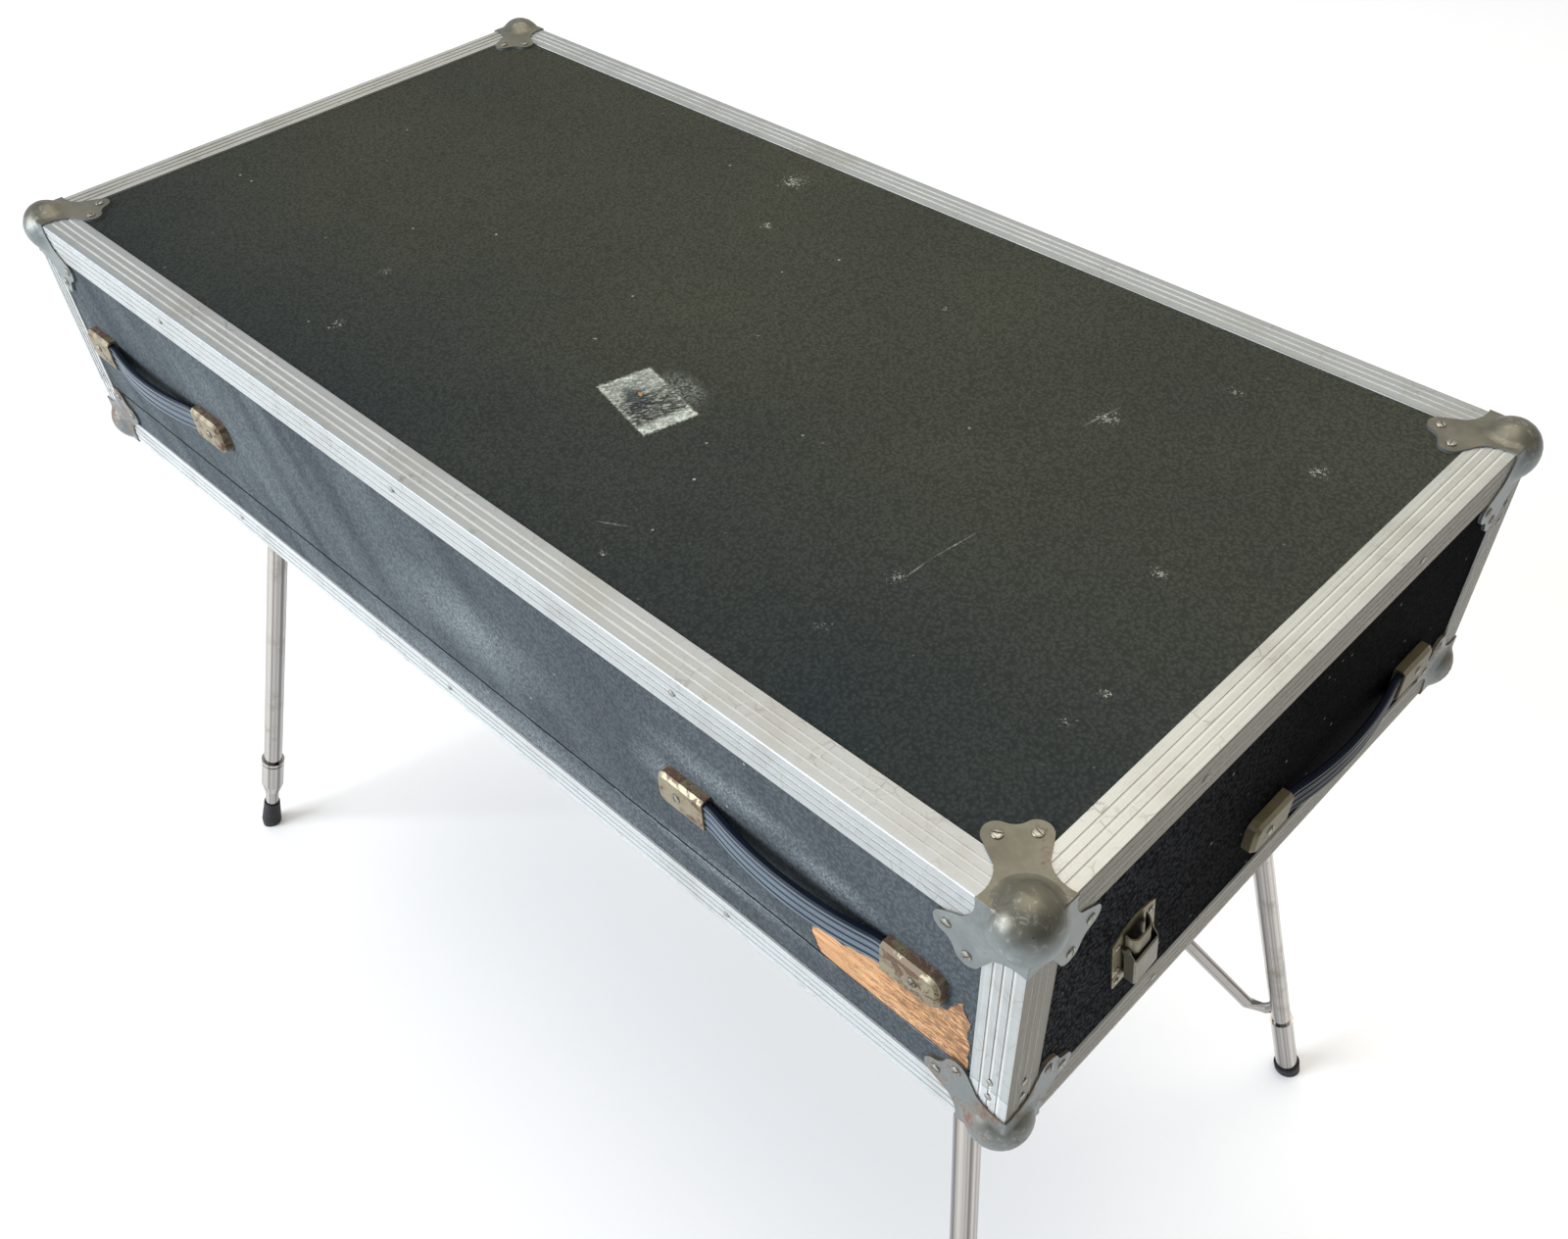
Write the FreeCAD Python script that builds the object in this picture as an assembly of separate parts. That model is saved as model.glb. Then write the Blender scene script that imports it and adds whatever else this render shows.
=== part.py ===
import FreeCAD, Part
import math
import os

# Flight case for a keyboard instrument: a wedge-shaped base, a deep hinged lid
# and four splayed tube legs. Millimetres, +Z up, +X along the long side, +Y to
# the hinged back. The origin is on the floor, in the middle of the footprint.

V = FreeCAD.Vector

# Case box, measured over the aluminium edging
case_length = 1186.0
case_width = 590.0
case_height = 242.0
stand_height = 660.4
base_front_share = 0.256
base_back_share = 0.731
seam_gap = 0.6
plywood = 9.0
covering_skin = 0.8
overrun = 40.0

# Edging
edging_face = 30.0
edging_wall = 1.5
edging_setback = 6.0
edging_round = 1.2
groove_width = 2.2
groove_depth = 0.8
groove_shares = (0.27, 0.5, 0.73)

# Ball corners, pressed from sheet
corner_sheet = 1.2
dome_radius = 23.5
dome_inset = 13.8
dome_blend = 8.0
corner_bend = 1.0
corner_clip = 3.6
ear_length = 38.5
waist_along = 45.0
waist_across = 23.0
lobe_far = 56.0
lobe_near = 40.0
lobe_radius = 9.5
lobe_notch = 52.5
ear_curve_share = 0.5
match_share = 0.002
lobe_start_angle = -60.0
lobe_end_angle = 75.0

# Screws
screw_radius = 3.6
screw_height = 1.0
small_screw_radius = 2.6
screw_top_share = 0.72

# Strap handles
handle_length = 250.0
cap_length = 46.0
cap_height = 30.0
cap_depth = 9.5
cap_end_radius = 9.0
cap_edge_bevel = 2.8
cap_floor = 2.0
cap_screw_inset = 20.0
strap_width = 25.0
strap_thickness = 5.6
strap_edge = 1.4
strap_tuck = 28.0
strap_bow = 8.0
strap_root_radius = 60.0
strap_rib_depth = 0.7
strap_rib_shares = (-0.3, 0.0, 0.3)
strap_rib_half_share = 0.05
strap_clearance = 0.2
front_handle_inset = 178.0
front_handle_drop = 112.0
side_handle_inset = 207.0
side_handle_rise = 80.0

# Draw latches on the short sides, set square to the seam
latch_inset = 125.0
latch_plate_width = 44.0
latch_plate_side = 45.0
latch_plate_crown = 53.0
latch_plate_foot = 0.6
latch_sheet = 1.2
latch_screw_across = 17.5
latch_screw_low = 8.0
latch_screw_high = 39.0
ear_inner = 4.0
ear_thickness = 1.2
ear_radius = 3.0
pivot_stand = 5.0
pivot_up = 13.0
pin_radius = 1.5
pin_clearance = 0.05
lever_half_width = 11.0
lever_sheet = 1.0
lever_front = 9.5
lever_back = 2.5
lever_corner = 6.6
lever_tail_radius = 3.5
lever_rim_front = 42.5
lever_rim_back = 47.5
hook_half_width = 12.5
hook_sheet = 1.0
hook_front = 12.0
hook_back = 3.2
hook_foot = -11.0
hook_top = 22.0
hook_corner = 2.5
hook_fold = 2.0
rivet_stand = 4.5
rivet_up = 30.0
rivet_head_radius = 2.4
rivet_head_height = 0.9
keeper_top = -1.0
keeper_foot = -16.0
keeper_corner = 3.0
ridge_half_width = 10.0
ridge_top = -5.5
ridge_foot = -8.8
ridge_stand = 2.8

# Butt hinges on the back
hinge_inset = 193.0
hinge_width = 60.0
hinge_margin = 1.5
hinge_sheet = 1.5
barrel_radius = 4.0
barrel_clearance = 0.3
hinge_pin_radius = 2.0
knuckle_count = 3

# Legs, set in from the corners of the case and splayed out to the floor
leg_inset = 119.5
front_splay_x = 145.7
front_splay_y = 152.5
rear_splay_x = 131.7
rear_splay_y = 123.2
leg_tube_wall = 1.2
front_tube_radius = 11.5
rear_tube_radius = 10.5
leg_tube_start = 10.0
socket_plate = 84.0
socket_plate_thickness = 5.0
socket_corner = 10.0
socket_wall = 5.0
socket_depth = 40.0
leg_clearance = 0.05

# Lower end of a front leg with its extension stowed; lifts are measured up the leg from the floor
collar_lift = 72.3
collar_length = 64.0
collar_grip = 41.0
collar_radius = 14.0
collar_lip_radius = 14.5
collar_lip_length = 5.0
collar_groove_length = 2.5
collar_groove_radius = 13.0
collar_taper_length = 14.0
collar_nose_radius = 10.6
collar_step_gap = 2.0
extension_radius = 8.5
extension_lift = 15.3
extension_length = 248.0
bush_length = 22.0
front_tip_grip = 30.0
front_tip_length = 58.0
front_tip_flare_run = 38.0
front_tip_top_radius = 10.2
front_tip_radius = 12.6
front_tip_nose_radius = 9.5

# Lower end of a rear leg, and its brace
sleeve_lift = 8.0
sleeve_length = 105.6
sleeve_overhang = 36.6
sleeve_radius = 12.0
sleeve_lip_radius = 12.8
sleeve_lip_length = 3.0
rear_tip_grip = 5.0
rear_tip_length = 34.0
rear_tip_radius = 14.5
rear_tip_nose_radius = 13.0
brace_above_sleeve = 26.0
brace_run_x = 208.5
brace_run_y = 196.5
brace_radius = 6.8
brace_press_length = 26.0
brace_press_half_height = 11.0
brace_press_half_thickness = 2.6
brace_shoe = 6.0
brace_tab_length = 30.0
brace_tab_width = 24.0
brace_tab_thickness = 4.0
brace_tab_corner = 8.0
brace_bolt_radius = 6.0
brace_bolt_height = 6.0

half_length = case_length / 2
half_width = case_width / 2
case_top = stand_height + case_height
base_front_height = case_height * base_front_share
base_back_height = case_height * base_back_share
seam_rise = base_back_height - base_front_height
seam_angle = math.atan2(seam_rise, case_width)
panel_inset = edging_wall + covering_skin
inner_inset = panel_inset + plywood
barrel_stand = barrel_radius + barrel_clearance
latch_offset = latch_inset - half_width
leg_top_x = half_length - leg_inset
leg_top_y = half_width - leg_inset
front_leg_length = V(front_splay_x, front_splay_y, stand_height).Length
rear_leg_length = V(rear_splay_x, rear_splay_y, stand_height).Length
collar_bottom = front_leg_length - collar_lift
collar_top = collar_bottom - collar_length
front_tube_end = collar_top + collar_grip
extension_end = front_leg_length - extension_lift
extension_start = extension_end - extension_length
front_tip_top = extension_end - front_tip_grip
front_tip_nose = front_tip_top + front_tip_length
sleeve_end = rear_leg_length - sleeve_lift
sleeve_top = sleeve_end - sleeve_length
rear_tube_end = sleeve_end - sleeve_overhang
rear_tip_top = sleeve_end - rear_tip_grip
rear_tip_nose = rear_tip_top + rear_tip_length
brace_on_leg = sleeve_top - brace_above_sleeve
brace_top_x = leg_top_x - brace_run_x
brace_top_y = leg_top_y - brace_run_y


def seam_height(y):
    """Height of the sloping joint between base and lid."""
    return stand_height + base_front_height + seam_rise * (y + half_width) / case_width


def box(x0, x1, y0, y1, z0, z1):
    return Part.makeBox(x1 - x0, y1 - y0, z1 - z0, V(x0, y0, z0))


def prism(points, direction):
    return Part.Face(Part.makePolygon(points + points[:1])).extrude(direction)


def outline_prism(edges, direction):
    return Part.Face(Part.Wire(edges)).extrude(direction)


def arc(start, middle, end):
    return Part.Arc(start, middle, end).toShape()


def line(start, end):
    return Part.LineSegment(start, end).toShape()


def joined(shapes):
    return shapes[0].fuse(shapes[1:]).removeSplitter()


def placed(shape, origin, ex, ey, ez):
    """Copy of a shape whose own axes are laid along ex, ey and ez at origin."""
    matrix = FreeCAD.Matrix(
        ex.x, ey.x, ez.x, origin.x,
        ex.y, ey.y, ez.y, origin.y,
        ex.z, ey.z, ez.z, origin.z,
        0, 0, 0, 1)
    copy = shape.copy()
    copy.Placement = FreeCAD.Placement(matrix).multiply(copy.Placement)
    return copy


def rounded_plate(half_x, half_y, corner, thickness):
    """Flat plate about the origin with rounded corners, from z = 0 upwards."""
    plate = box(-half_x, half_x, -half_y, half_y, 0, thickness)
    uprights = [e for e in plate.Edges if abs(e.tangentAt(e.FirstParameter).z) > 0.9]
    return plate.makeFillet(corner, uprights)


def turned(profile):
    """Solid of revolution about Z from (radius, height) points."""
    points = [V(r, 0, h) for r, h in profile]
    face = Part.Face(Part.makePolygon(points + points[:1]))
    return face.revolve(V(0, 0, 0), V(0, 0, 1), 360)


def seam_space(side):
    """Space above (side +1) or below (side -1) the seam, half the gap clear of it."""
    reach = half_width + overrun
    lift = side * seam_gap / 2 / math.cos(seam_angle)
    limit = case_top + overrun if side > 0 else stand_height - overrun
    x = -half_length - overrun
    corners = [V(x, -reach, seam_height(-reach) + lift), V(x, reach, seam_height(reach) + lift),
               V(x, reach, limit), V(x, -reach, limit)]
    return prism(corners, V(case_length + 2 * overrun, 0, 0))


halves = {"lid": seam_space(1), "base": seam_space(-1)}


def case_box(inset):
    return box(-half_length + inset, half_length - inset, -half_width + inset, half_width - inset,
               stand_height + inset, case_top - inset)


def plywood_panels():
    """Six boards: top and bottom run over the walls, front and back over the ends."""
    out_x, out_y = half_length - panel_inset, half_width - panel_inset
    in_x, in_y = half_length - inner_inset, half_width - inner_inset
    floor_out, floor_in = stand_height + panel_inset, stand_height + inner_inset
    roof_out, roof_in = case_top - panel_inset, case_top - inner_inset
    walls = {
        "front": box(-out_x, out_x, -out_y, -in_y, floor_in, roof_in),
        "back": box(-out_x, out_x, in_y, out_y, floor_in, roof_in),
        "left": box(-out_x, -in_x, -in_y, in_y, floor_in, roof_in),
        "right": box(in_x, out_x, -in_y, in_y, floor_in, roof_in),
    }
    nodes = {
        "lid_top_panel": box(-out_x, out_x, -out_y, out_y, roof_in, roof_out),
        "base_bottom_panel": box(-out_x, out_x, -out_y, out_y, floor_out, floor_in),
    }
    for half, space in halves.items():
        for wall, board in walls.items():
            nodes[half + "_" + wall + "_panel"] = board.common(space)
    return nodes


def coverings():
    """Leathercloth skin glued round the outside of each half."""
    skin = case_box(edging_wall).cut(case_box(panel_inset))
    return {half + "_covering": skin.common(space) for half, space in halves.items()}


def edging(length):
    """Ribbed angle along +X with mitred ends; the case lies at y > 0, z < 0."""
    far = length - edging_setback
    mitre = length - edging_face
    outline = [(edging_setback, 0), (far, 0), (far, edging_setback), (mitre, edging_face),
               (edging_face, edging_face), (edging_setback, edging_setback)]
    flat = prism([V(a, b, 0) for a, b in outline], V(0, 0, -edging_wall))
    upright = prism([V(a, 0, -b) for a, b in outline], V(0, edging_wall, 0))
    angle = joined([flat, upright])
    ridge = [e for e in angle.Edges
             if e.BoundBox.YMax < edging_wall / 2 and e.BoundBox.ZMin > -edging_wall / 2
             and e.Length > edging_face]
    angle = angle.makeFillet(edging_round, ridge)
    cuts = []
    for share in groove_shares:
        low = edging_face * share - groove_width / 2
        high = low + groove_width
        cuts.append(box(0, length, low, high, -groove_depth, overrun))
        cuts.append(box(0, length, -overrun, groove_depth, -high, -low))
    return angle.cut(cuts)


def edgings():
    """Four long, four short and four upright lengths; the uprights are cut at the seam."""
    long_rail, short_rail, post = edging(case_length), edging(case_width), edging(case_height)
    nodes = {}
    for half, out in (("base", -1), ("lid", 1)):
        z = case_top if out > 0 else stand_height
        long_rails, short_rails, posts = [], [], []
        for side in (-1, 1):
            run = -side * out
            long_rails.append(placed(long_rail, V(-run * half_length, side * half_width, z),
                                     V(run, 0, 0), V(0, -side, 0), V(0, 0, out)))
            run = side * out
            short_rails.append(placed(short_rail, V(side * half_length, -run * half_width, z),
                                      V(0, run, 0), V(-side, 0, 0), V(0, 0, out)))
            for face in (-1, 1):
                run = -side * face
                start = stand_height if run > 0 else case_top
                upright = placed(post, V(side * half_length, face * half_width, start),
                                 V(0, 0, run), V(-side, 0, 0), V(0, face, 0))
                posts.append(upright.common(halves[half]))
        nodes[half + "_long_edgings"] = Part.makeCompound(long_rails)
        nodes[half + "_short_edgings"] = Part.makeCompound(short_rails)
        nodes[half + "_corner_posts"] = Part.makeCompound(posts)
    return nodes


def corner_outline():
    """One leaf of a ball corner: two ears along the edges and a two-lobed tongue."""
    def lobe(angle):
        turn = math.radians(angle)
        return V(lobe_far + lobe_radius * math.cos(turn), lobe_near + lobe_radius * math.sin(turn), 0)

    def mirrored(point):
        return V(point.y, point.x, 0)

    heel = V(-corner_sheet, -corner_sheet, 0)
    ear = V(ear_length, -corner_sheet, 0)
    bend = V(ear_length, waist_across * ear_curve_share, 0)
    waist = V(waist_along, waist_across, 0)
    lobe_in = lobe(lobe_start_angle)
    lobe_mid = lobe((lobe_start_angle + lobe_end_angle) / 2)
    lobe_out = lobe(lobe_end_angle)
    notch = V(lobe_notch, lobe_notch, 0)
    side = [line(heel, ear), arc(ear, bend, waist), line(waist, lobe_in), arc(lobe_in, lobe_mid, lobe_out)]
    tip = arc(lobe_out, notch, mirrored(lobe_out))
    back = [arc(mirrored(lobe_out), mirrored(lobe_mid), mirrored(lobe_in)),
            line(mirrored(lobe_in), mirrored(waist)),
            arc(mirrored(waist), mirrored(bend), mirrored(ear)), line(mirrored(ear), heel)]
    return side + [tip] + back


def dome_rims(shell, centre):
    """Edges where the dome rises out of the leaves, on the outside of the case."""
    rims = []
    for edge in shell.Edges:
        if edge.Degenerated:
            continue
        middle = edge.valueAt((edge.FirstParameter + edge.LastParameter) / 2)
        on_dome = abs(middle.distanceToPoint(centre) - dome_radius) < dome_radius * match_share
        round_edge = edge.Curve.TypeId == "Part::GeomCircle"
        great_circle = round_edge and edge.Curve.Radius > dome_radius * (1 - match_share)
        if on_dome and not great_circle and min(middle) < -corner_sheet / 2:
            rims.append(edge)
    return rims


def ball_corner():
    """Pressed corner in inset axes: the case fills the positive octant, the dome is left solid."""
    reach = lobe_far + overrun
    leaf = outline_prism(corner_outline(), V(0, 0, -corner_sheet))
    pad = outline_prism(corner_outline(), V(0, 0, edging_wall))
    pad = pad.common(box(edging_face, reach, edging_face, reach, 0, edging_wall))
    axes = [V(1, 0, 0), V(0, 1, 0), V(0, 0, 1)]
    turns = [(axes[i], axes[(i + 1) % 3], axes[(i + 2) % 3]) for i in range(3)]
    origin = V(0, 0, 0)
    leaves = joined([placed(leaf, origin, *turn) for turn in turns])
    bends = [e for e in leaves.Edges if e.Length > ear_length
             and min(abs(e.CenterOfMass.x), abs(e.CenterOfMass.y), abs(e.CenterOfMass.z)) > corner_sheet / 2
             and sum(c < 0 for c in e.CenterOfMass) == 2]
    leaves = leaves.makeFillet(corner_bend, bends)
    tip = corner_clip
    slant = [V(3 * tip, -tip, -tip), V(-tip, 3 * tip, -tip), V(-tip, -tip, 3 * tip)]
    clip = prism(slant, V(-tip, -tip, -tip))
    centre = V(dome_inset, dome_inset, dome_inset)
    dome = Part.makeSphere(dome_radius, centre)
    shell = joined([leaves.cut(clip), dome])
    shell = shell.makeFillet(dome_blend, dome_rims(shell, centre))
    shell = shell.cut(box(0, reach, 0, reach, 0, reach))
    return joined([shell] + [placed(pad, origin, *turn) for turn in turns])


def corner_frames(half):
    """Origin and inward axes of the four corners of one half, right-handed."""
    out = 1 if half == "lid" else -1
    z = case_top if out > 0 else stand_height
    for sx in (-1, 1):
        for sy in (-1, 1):
            ex, ey, ez = V(-sx, 0, 0), V(0, -sy, 0), V(0, 0, -out)
            if ex.cross(ey).dot(ez) < 0:
                ex, ey = ey, ex
            yield V(sx * half_length, sy * half_width, z), ex, ey, ez


def ball_corners():
    corner = ball_corner()
    nodes = {}
    for half in halves:
        solids = [placed(corner, *frame) for frame in corner_frames(half)]
        nodes[half + "_ball_corners"] = Part.makeCompound(solids)
    return nodes


def screw(radius, origin, normal):
    """Low screw head with sloping sides, standing on a surface."""
    head = Part.makeCone(radius, radius * screw_top_share, screw_height)
    head.Placement = FreeCAD.Placement(origin, FreeCAD.Rotation(V(0, 0, 1), normal))
    return head


def face_frame(face, along, up):
    """Frame on the covering of one wall: across, up and outward."""
    wall_x, wall_y = half_length - edging_wall, half_width - edging_wall
    outward = {"front": V(0, -1, 0), "right": V(1, 0, 0), "left": V(-1, 0, 0), "back": V(0, 1, 0)}[face]
    height = V(0, 0, 1)
    across = height.cross(outward)
    place = V(along, 0, up) if face in ("front", "back") else V(0, along, up)
    origin = place + V(outward.x * wall_x, outward.y * wall_y, 0)
    return origin, across, height, outward


front_handle_x = half_length - front_handle_inset
side_handle_y = half_width - side_handle_inset
handles = {
    "front_left": face_frame("front", -front_handle_x, case_top - front_handle_drop),
    "front_right": face_frame("front", front_handle_x, case_top - front_handle_drop),
    "side_left": face_frame("left", side_handle_y, stand_height + side_handle_rise),
    "side_right": face_frame("right", side_handle_y, stand_height + side_handle_rise),
}
cap_mouth = handle_length / 2 - cap_length
strap_level = cap_floor + strap_clearance + strap_thickness / 2


def strap():
    """Bowed strap: ribbed section swept along straight tucks and three tangent arcs."""
    turn = 2 * math.atan2(strap_bow, cap_mouth)
    crown_radius = cap_mouth / math.sin(turn) - strap_root_radius
    end = cap_mouth + strap_tuck - strap_clearance

    def root_point(angle):
        return V(-cap_mouth + strap_root_radius * math.sin(angle), 0,
                 strap_level + strap_root_radius * (1 - math.cos(angle)))

    def other_end(point):
        return V(-point.x, 0, point.z)

    tuck, mouth = V(-end, 0, strap_level), V(-cap_mouth, 0, strap_level)
    half_way, bend = root_point(turn / 2), root_point(turn)
    crown = V(0, 0, strap_level + (strap_root_radius + crown_radius) * (1 - math.cos(turn)))
    path = Part.Wire([line(tuck, mouth), arc(mouth, half_way, bend), arc(bend, crown, other_end(bend)),
                      arc(other_end(bend), other_end(half_way), other_end(mouth)),
                      line(other_end(mouth), other_end(tuck))])
    half = strap_width / 2
    thick = strap_thickness / 2
    edge = strap_edge
    section = [(edge - half, -thick), (half - edge, -thick), (half, edge - thick), (half, thick - edge),
               (half - edge, thick)]
    for share in reversed(strap_rib_shares):
        middle = strap_width * share
        lip = strap_width * strap_rib_half_share
        section += [(middle + lip, thick), (middle, thick - strap_rib_depth), (middle - lip, thick)]
    section += [(edge - half, thick), (-half, thick - edge), (-half, edge - thick)]
    points = [V(-end, across, strap_level + depth) for across, depth in section]
    return path.makePipeShell([Part.makePolygon(points + points[:1])], True, False)


def strap_cap(side):
    """Pressed end cap, hollow towards the middle of the strap."""
    mouth, tip = cap_mouth, cap_mouth + cap_length
    block = box(mouth, tip, -cap_height / 2, cap_height / 2, 0, cap_depth)
    ends = [e for e in block.Edges if e.BoundBox.XMin > mouth and e.BoundBox.ZLength > cap_depth / 2]
    block = block.makeFillet(cap_end_radius, ends)
    rim = [e for e in block.Edges if e.BoundBox.ZMin > cap_depth / 2 and e.BoundBox.XMax > mouth + cap_floor]
    block = block.makeChamfer(cap_edge_bevel, rim)
    half = strap_width / 2 + strap_clearance
    top = cap_floor + strap_thickness + 2 * strap_clearance
    cap = block.cut(box(mouth - overrun, mouth + strap_tuck, -half, half, cap_floor, top))
    if side < 0:
        cap.rotate(V(0, 0, 0), V(0, 0, 1), 180)
    return cap


def strap_handles():
    band = strap()
    caps = [strap_cap(-1), strap_cap(1)]
    nodes, cap_groups = {}, {"front": [], "side": []}
    for name, frame in handles.items():
        place, side = name.split("_")
        nodes[place + "_strap_" + side] = placed(band, *frame)
        cap_groups[place] += [placed(cap, *frame) for cap in caps]
    for place, solids in cap_groups.items():
        nodes[place + "_strap_caps"] = Part.makeCompound(solids)
    return nodes


def handle_screws(place):
    heads = []
    for name, (origin, across, height, outward) in handles.items():
        if name.startswith(place):
            for side in (-1, 1):
                reach = side * (handle_length / 2 - cap_screw_inset)
                heads.append(screw(screw_radius, origin + across * reach + outward * cap_depth, outward))
    return heads


def latch_frame(side):
    """Seam point under the latch with axes along the seam, up the wall and outward."""
    origin = V(side * (half_length - edging_wall), latch_offset, seam_height(latch_offset))
    along = V(0, side * math.cos(seam_angle), side * math.sin(seam_angle))
    up = V(0, -math.sin(seam_angle), math.cos(seam_angle))
    return origin, along, up, V(side, 0, 0)


def cross_pin(radius, reach, up, stand):
    return Part.makeCylinder(radius, 2 * reach, V(-reach, up, stand), V(1, 0, 0))


def latch_plate():
    """Arched plate on the lid with two ears for the lever's pin."""
    half = latch_plate_width / 2
    foot_left, foot_right = V(-half, latch_plate_foot, 0), V(half, latch_plate_foot, 0)
    top_left, top_right = V(-half, latch_plate_side, 0), V(half, latch_plate_side, 0)
    sheet = outline_prism([line(foot_left, foot_right), line(foot_right, top_right),
                           arc(top_right, V(0, latch_plate_crown, 0), top_left), line(top_left, foot_left)],
                          V(0, 0, latch_sheet))
    solids = [sheet]
    for side in (-1, 1):
        inner = side * ear_inner
        outer = side * (ear_inner + ear_thickness)
        low, high = min(inner, outer), max(inner, outer)
        post = box(low, high, pivot_up - ear_radius, pivot_up + ear_radius, 0, pivot_stand)
        boss = Part.makeCylinder(ear_radius, ear_thickness, V(low, pivot_up, pivot_stand), V(1, 0, 0))
        solids += [post, boss]
    plate = joined(solids)
    return plate.cut(cross_pin(pin_radius, half, pivot_up, pivot_stand))


def latch_lever():
    """Trough-shaped thumb lever, open at the top, turning on the plate's pin."""
    wide, deep, sheet = lever_half_width, lever_front, lever_sheet

    def trough(inset):
        edge = wide - inset
        face = deep - inset
        bend = lever_corner - inset
        slant = bend * (1 - math.sqrt(0.5))
        back_left, back_right = V(-edge, 0, lever_back - inset), V(edge, 0, lever_back - inset)
        left_up, right_up = V(-edge, 0, face - bend), V(edge, 0, face - bend)
        left_in, right_in = V(-edge + bend, 0, face), V(edge - bend, 0, face)
        left_mid, right_mid = V(-edge + slant, 0, face - slant), V(edge - slant, 0, face - slant)
        return [line(back_left, back_right), line(back_right, right_up), arc(right_up, right_mid, right_in),
                line(right_in, left_in), arc(left_in, left_mid, left_up), line(left_up, back_left)]

    length = V(0, lever_rim_back, 0)
    shell = outline_prism(trough(0), length).cut(outline_prism(trough(sheet), length))
    slope = [V(-wide - overrun, lever_rim_back, lever_back), V(-wide - overrun, lever_rim_front, deep),
             V(-wide - overrun, lever_rim_front, deep + overrun),
             V(-wide - overrun, lever_rim_back + overrun, lever_back)]
    shell = shell.cut(prism(slope, V(2 * (wide + overrun), 0, 0)))
    tail = cross_pin(lever_tail_radius, wide, pivot_up, pivot_stand)
    tail = tail.cut(cross_pin(lever_tail_radius, wide - sheet, pivot_up, pivot_stand))
    below = box(-wide, wide, -overrun, pivot_up, -overrun, deep + overrun)
    shell = joined([shell.cut(below), tail])
    shell = shell.cut(cross_pin(pin_radius + pin_clearance, wide + overrun, pivot_up, pivot_stand))
    return shell.cut(cross_pin(pin_radius + pin_clearance, wide + overrun, rivet_up, rivet_stand))


def latch_hook():
    """Folded channel that hangs on the lever's rivets and reaches down over the keeper."""
    wide, sheet = hook_half_width, hook_sheet
    x = -wide
    ear_back = V(x, rivet_up, rivet_stand - ear_radius)
    ear_top = V(x, rivet_up + ear_radius, rivet_stand)
    ear_front = V(x, rivet_up, rivet_stand + ear_radius)
    shoulder = V(x, hook_top, hook_front)
    heel_high = V(x, hook_foot + hook_corner, hook_front)
    heel_low = V(x, hook_foot, hook_front - hook_corner)
    slant = hook_corner * (1 - math.sqrt(0.5))
    heel = V(x, hook_foot + slant, hook_front - slant)
    toe = V(x, hook_foot, hook_back)
    back = V(x, hook_top, hook_back)
    outline = [arc(ear_back, ear_top, ear_front), line(ear_front, shoulder), line(shoulder, heel_high),
               arc(heel_high, heel, heel_low), line(heel_low, toe), line(toe, back), line(back, ear_back)]
    block = outline_prism(outline, V(2 * wide, 0, 0))
    folds = [e for e in block.Edges if e.BoundBox.ZMin > hook_front - hook_corner / 2
             and e.BoundBox.YLength > hook_top / 2]
    block = block.makeFillet(hook_fold, folds)
    inside = box(-wide + sheet, wide - sheet, hook_foot + sheet, rivet_up + overrun,
                 -overrun, hook_front - sheet)
    hook = block.cut(inside)
    return hook.cut(cross_pin(pin_radius, wide + overrun, rivet_up, rivet_stand))


def latch_rivets():
    """Two headed rivets holding the hook to the sides of the lever."""
    rivets = []
    for side in (-1, 1):
        start = V(side * (lever_half_width - lever_sheet), rivet_up, rivet_stand)
        reach = hook_half_width - lever_half_width + lever_sheet
        shank = Part.makeCylinder(pin_radius, reach, start, V(side, 0, 0))
        seat = V(side * hook_half_width, rivet_up, rivet_stand)
        head = Part.makeCylinder(rivet_head_radius, rivet_head_height, seat, V(side, 0, 0))
        rivets.append(joined([shank, head]))
    return Part.makeCompound(rivets)


def latch_keeper():
    """Small plate on the base with a raised ridge for the hook."""
    half = latch_plate_width / 2
    middle = (keeper_top + keeper_foot) / 2
    plate = rounded_plate(half, (keeper_top - keeper_foot) / 2, keeper_corner, latch_sheet)
    plate.translate(V(0, middle, 0))
    ridge = box(-ridge_half_width, ridge_half_width, ridge_foot, ridge_top, 0, ridge_stand)
    crest = [e for e in ridge.Edges if e.BoundBox.ZMin > latch_sheet and e.BoundBox.XLength > ridge_half_width]
    ridge = ridge.makeFillet((ridge_stand - latch_sheet) / 2, crest)
    return joined([plate, ridge])


def latches():
    plate, keeper = latch_plate(), latch_keeper()
    lever, hook, rivets = latch_lever(), latch_hook(), latch_rivets()
    pin = cross_pin(pin_radius, lever_half_width, pivot_up, pivot_stand)
    nodes, plates, pins, keepers = {}, [], [], []
    for name, side in (("left", -1), ("right", 1)):
        frame = latch_frame(side)
        plates.append(placed(plate, *frame))
        pins.append(placed(pin, *frame))
        keepers.append(placed(keeper, *frame))
        nodes["latch_lever_" + name] = placed(lever, *frame)
        nodes["latch_hook_" + name] = placed(hook, *frame)
        nodes["latch_rivets_" + name] = placed(rivets, *frame)
    nodes["latch_plates"] = Part.makeCompound(plates)
    nodes["latch_pins"] = Part.makeCompound(pins)
    nodes["latch_keepers"] = Part.makeCompound(keepers)
    return nodes


def latch_screws(heights):
    heads = []
    for side in (-1, 1):
        origin, along, up, outward = latch_frame(side)
        for height in heights:
            for across in (-latch_screw_across, latch_screw_across):
                seat = origin + along * across + up * height + outward * latch_sheet
                heads.append(screw(small_screw_radius, seat, outward))
    return heads


barrel_y = half_width - edging_wall + barrel_stand
barrel_z = seam_height(barrel_y)
hinge_leaf = case_top - edging_face - hinge_margin - barrel_z
hinge_places = (hinge_inset - half_length, 0, half_length - hinge_inset)


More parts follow.
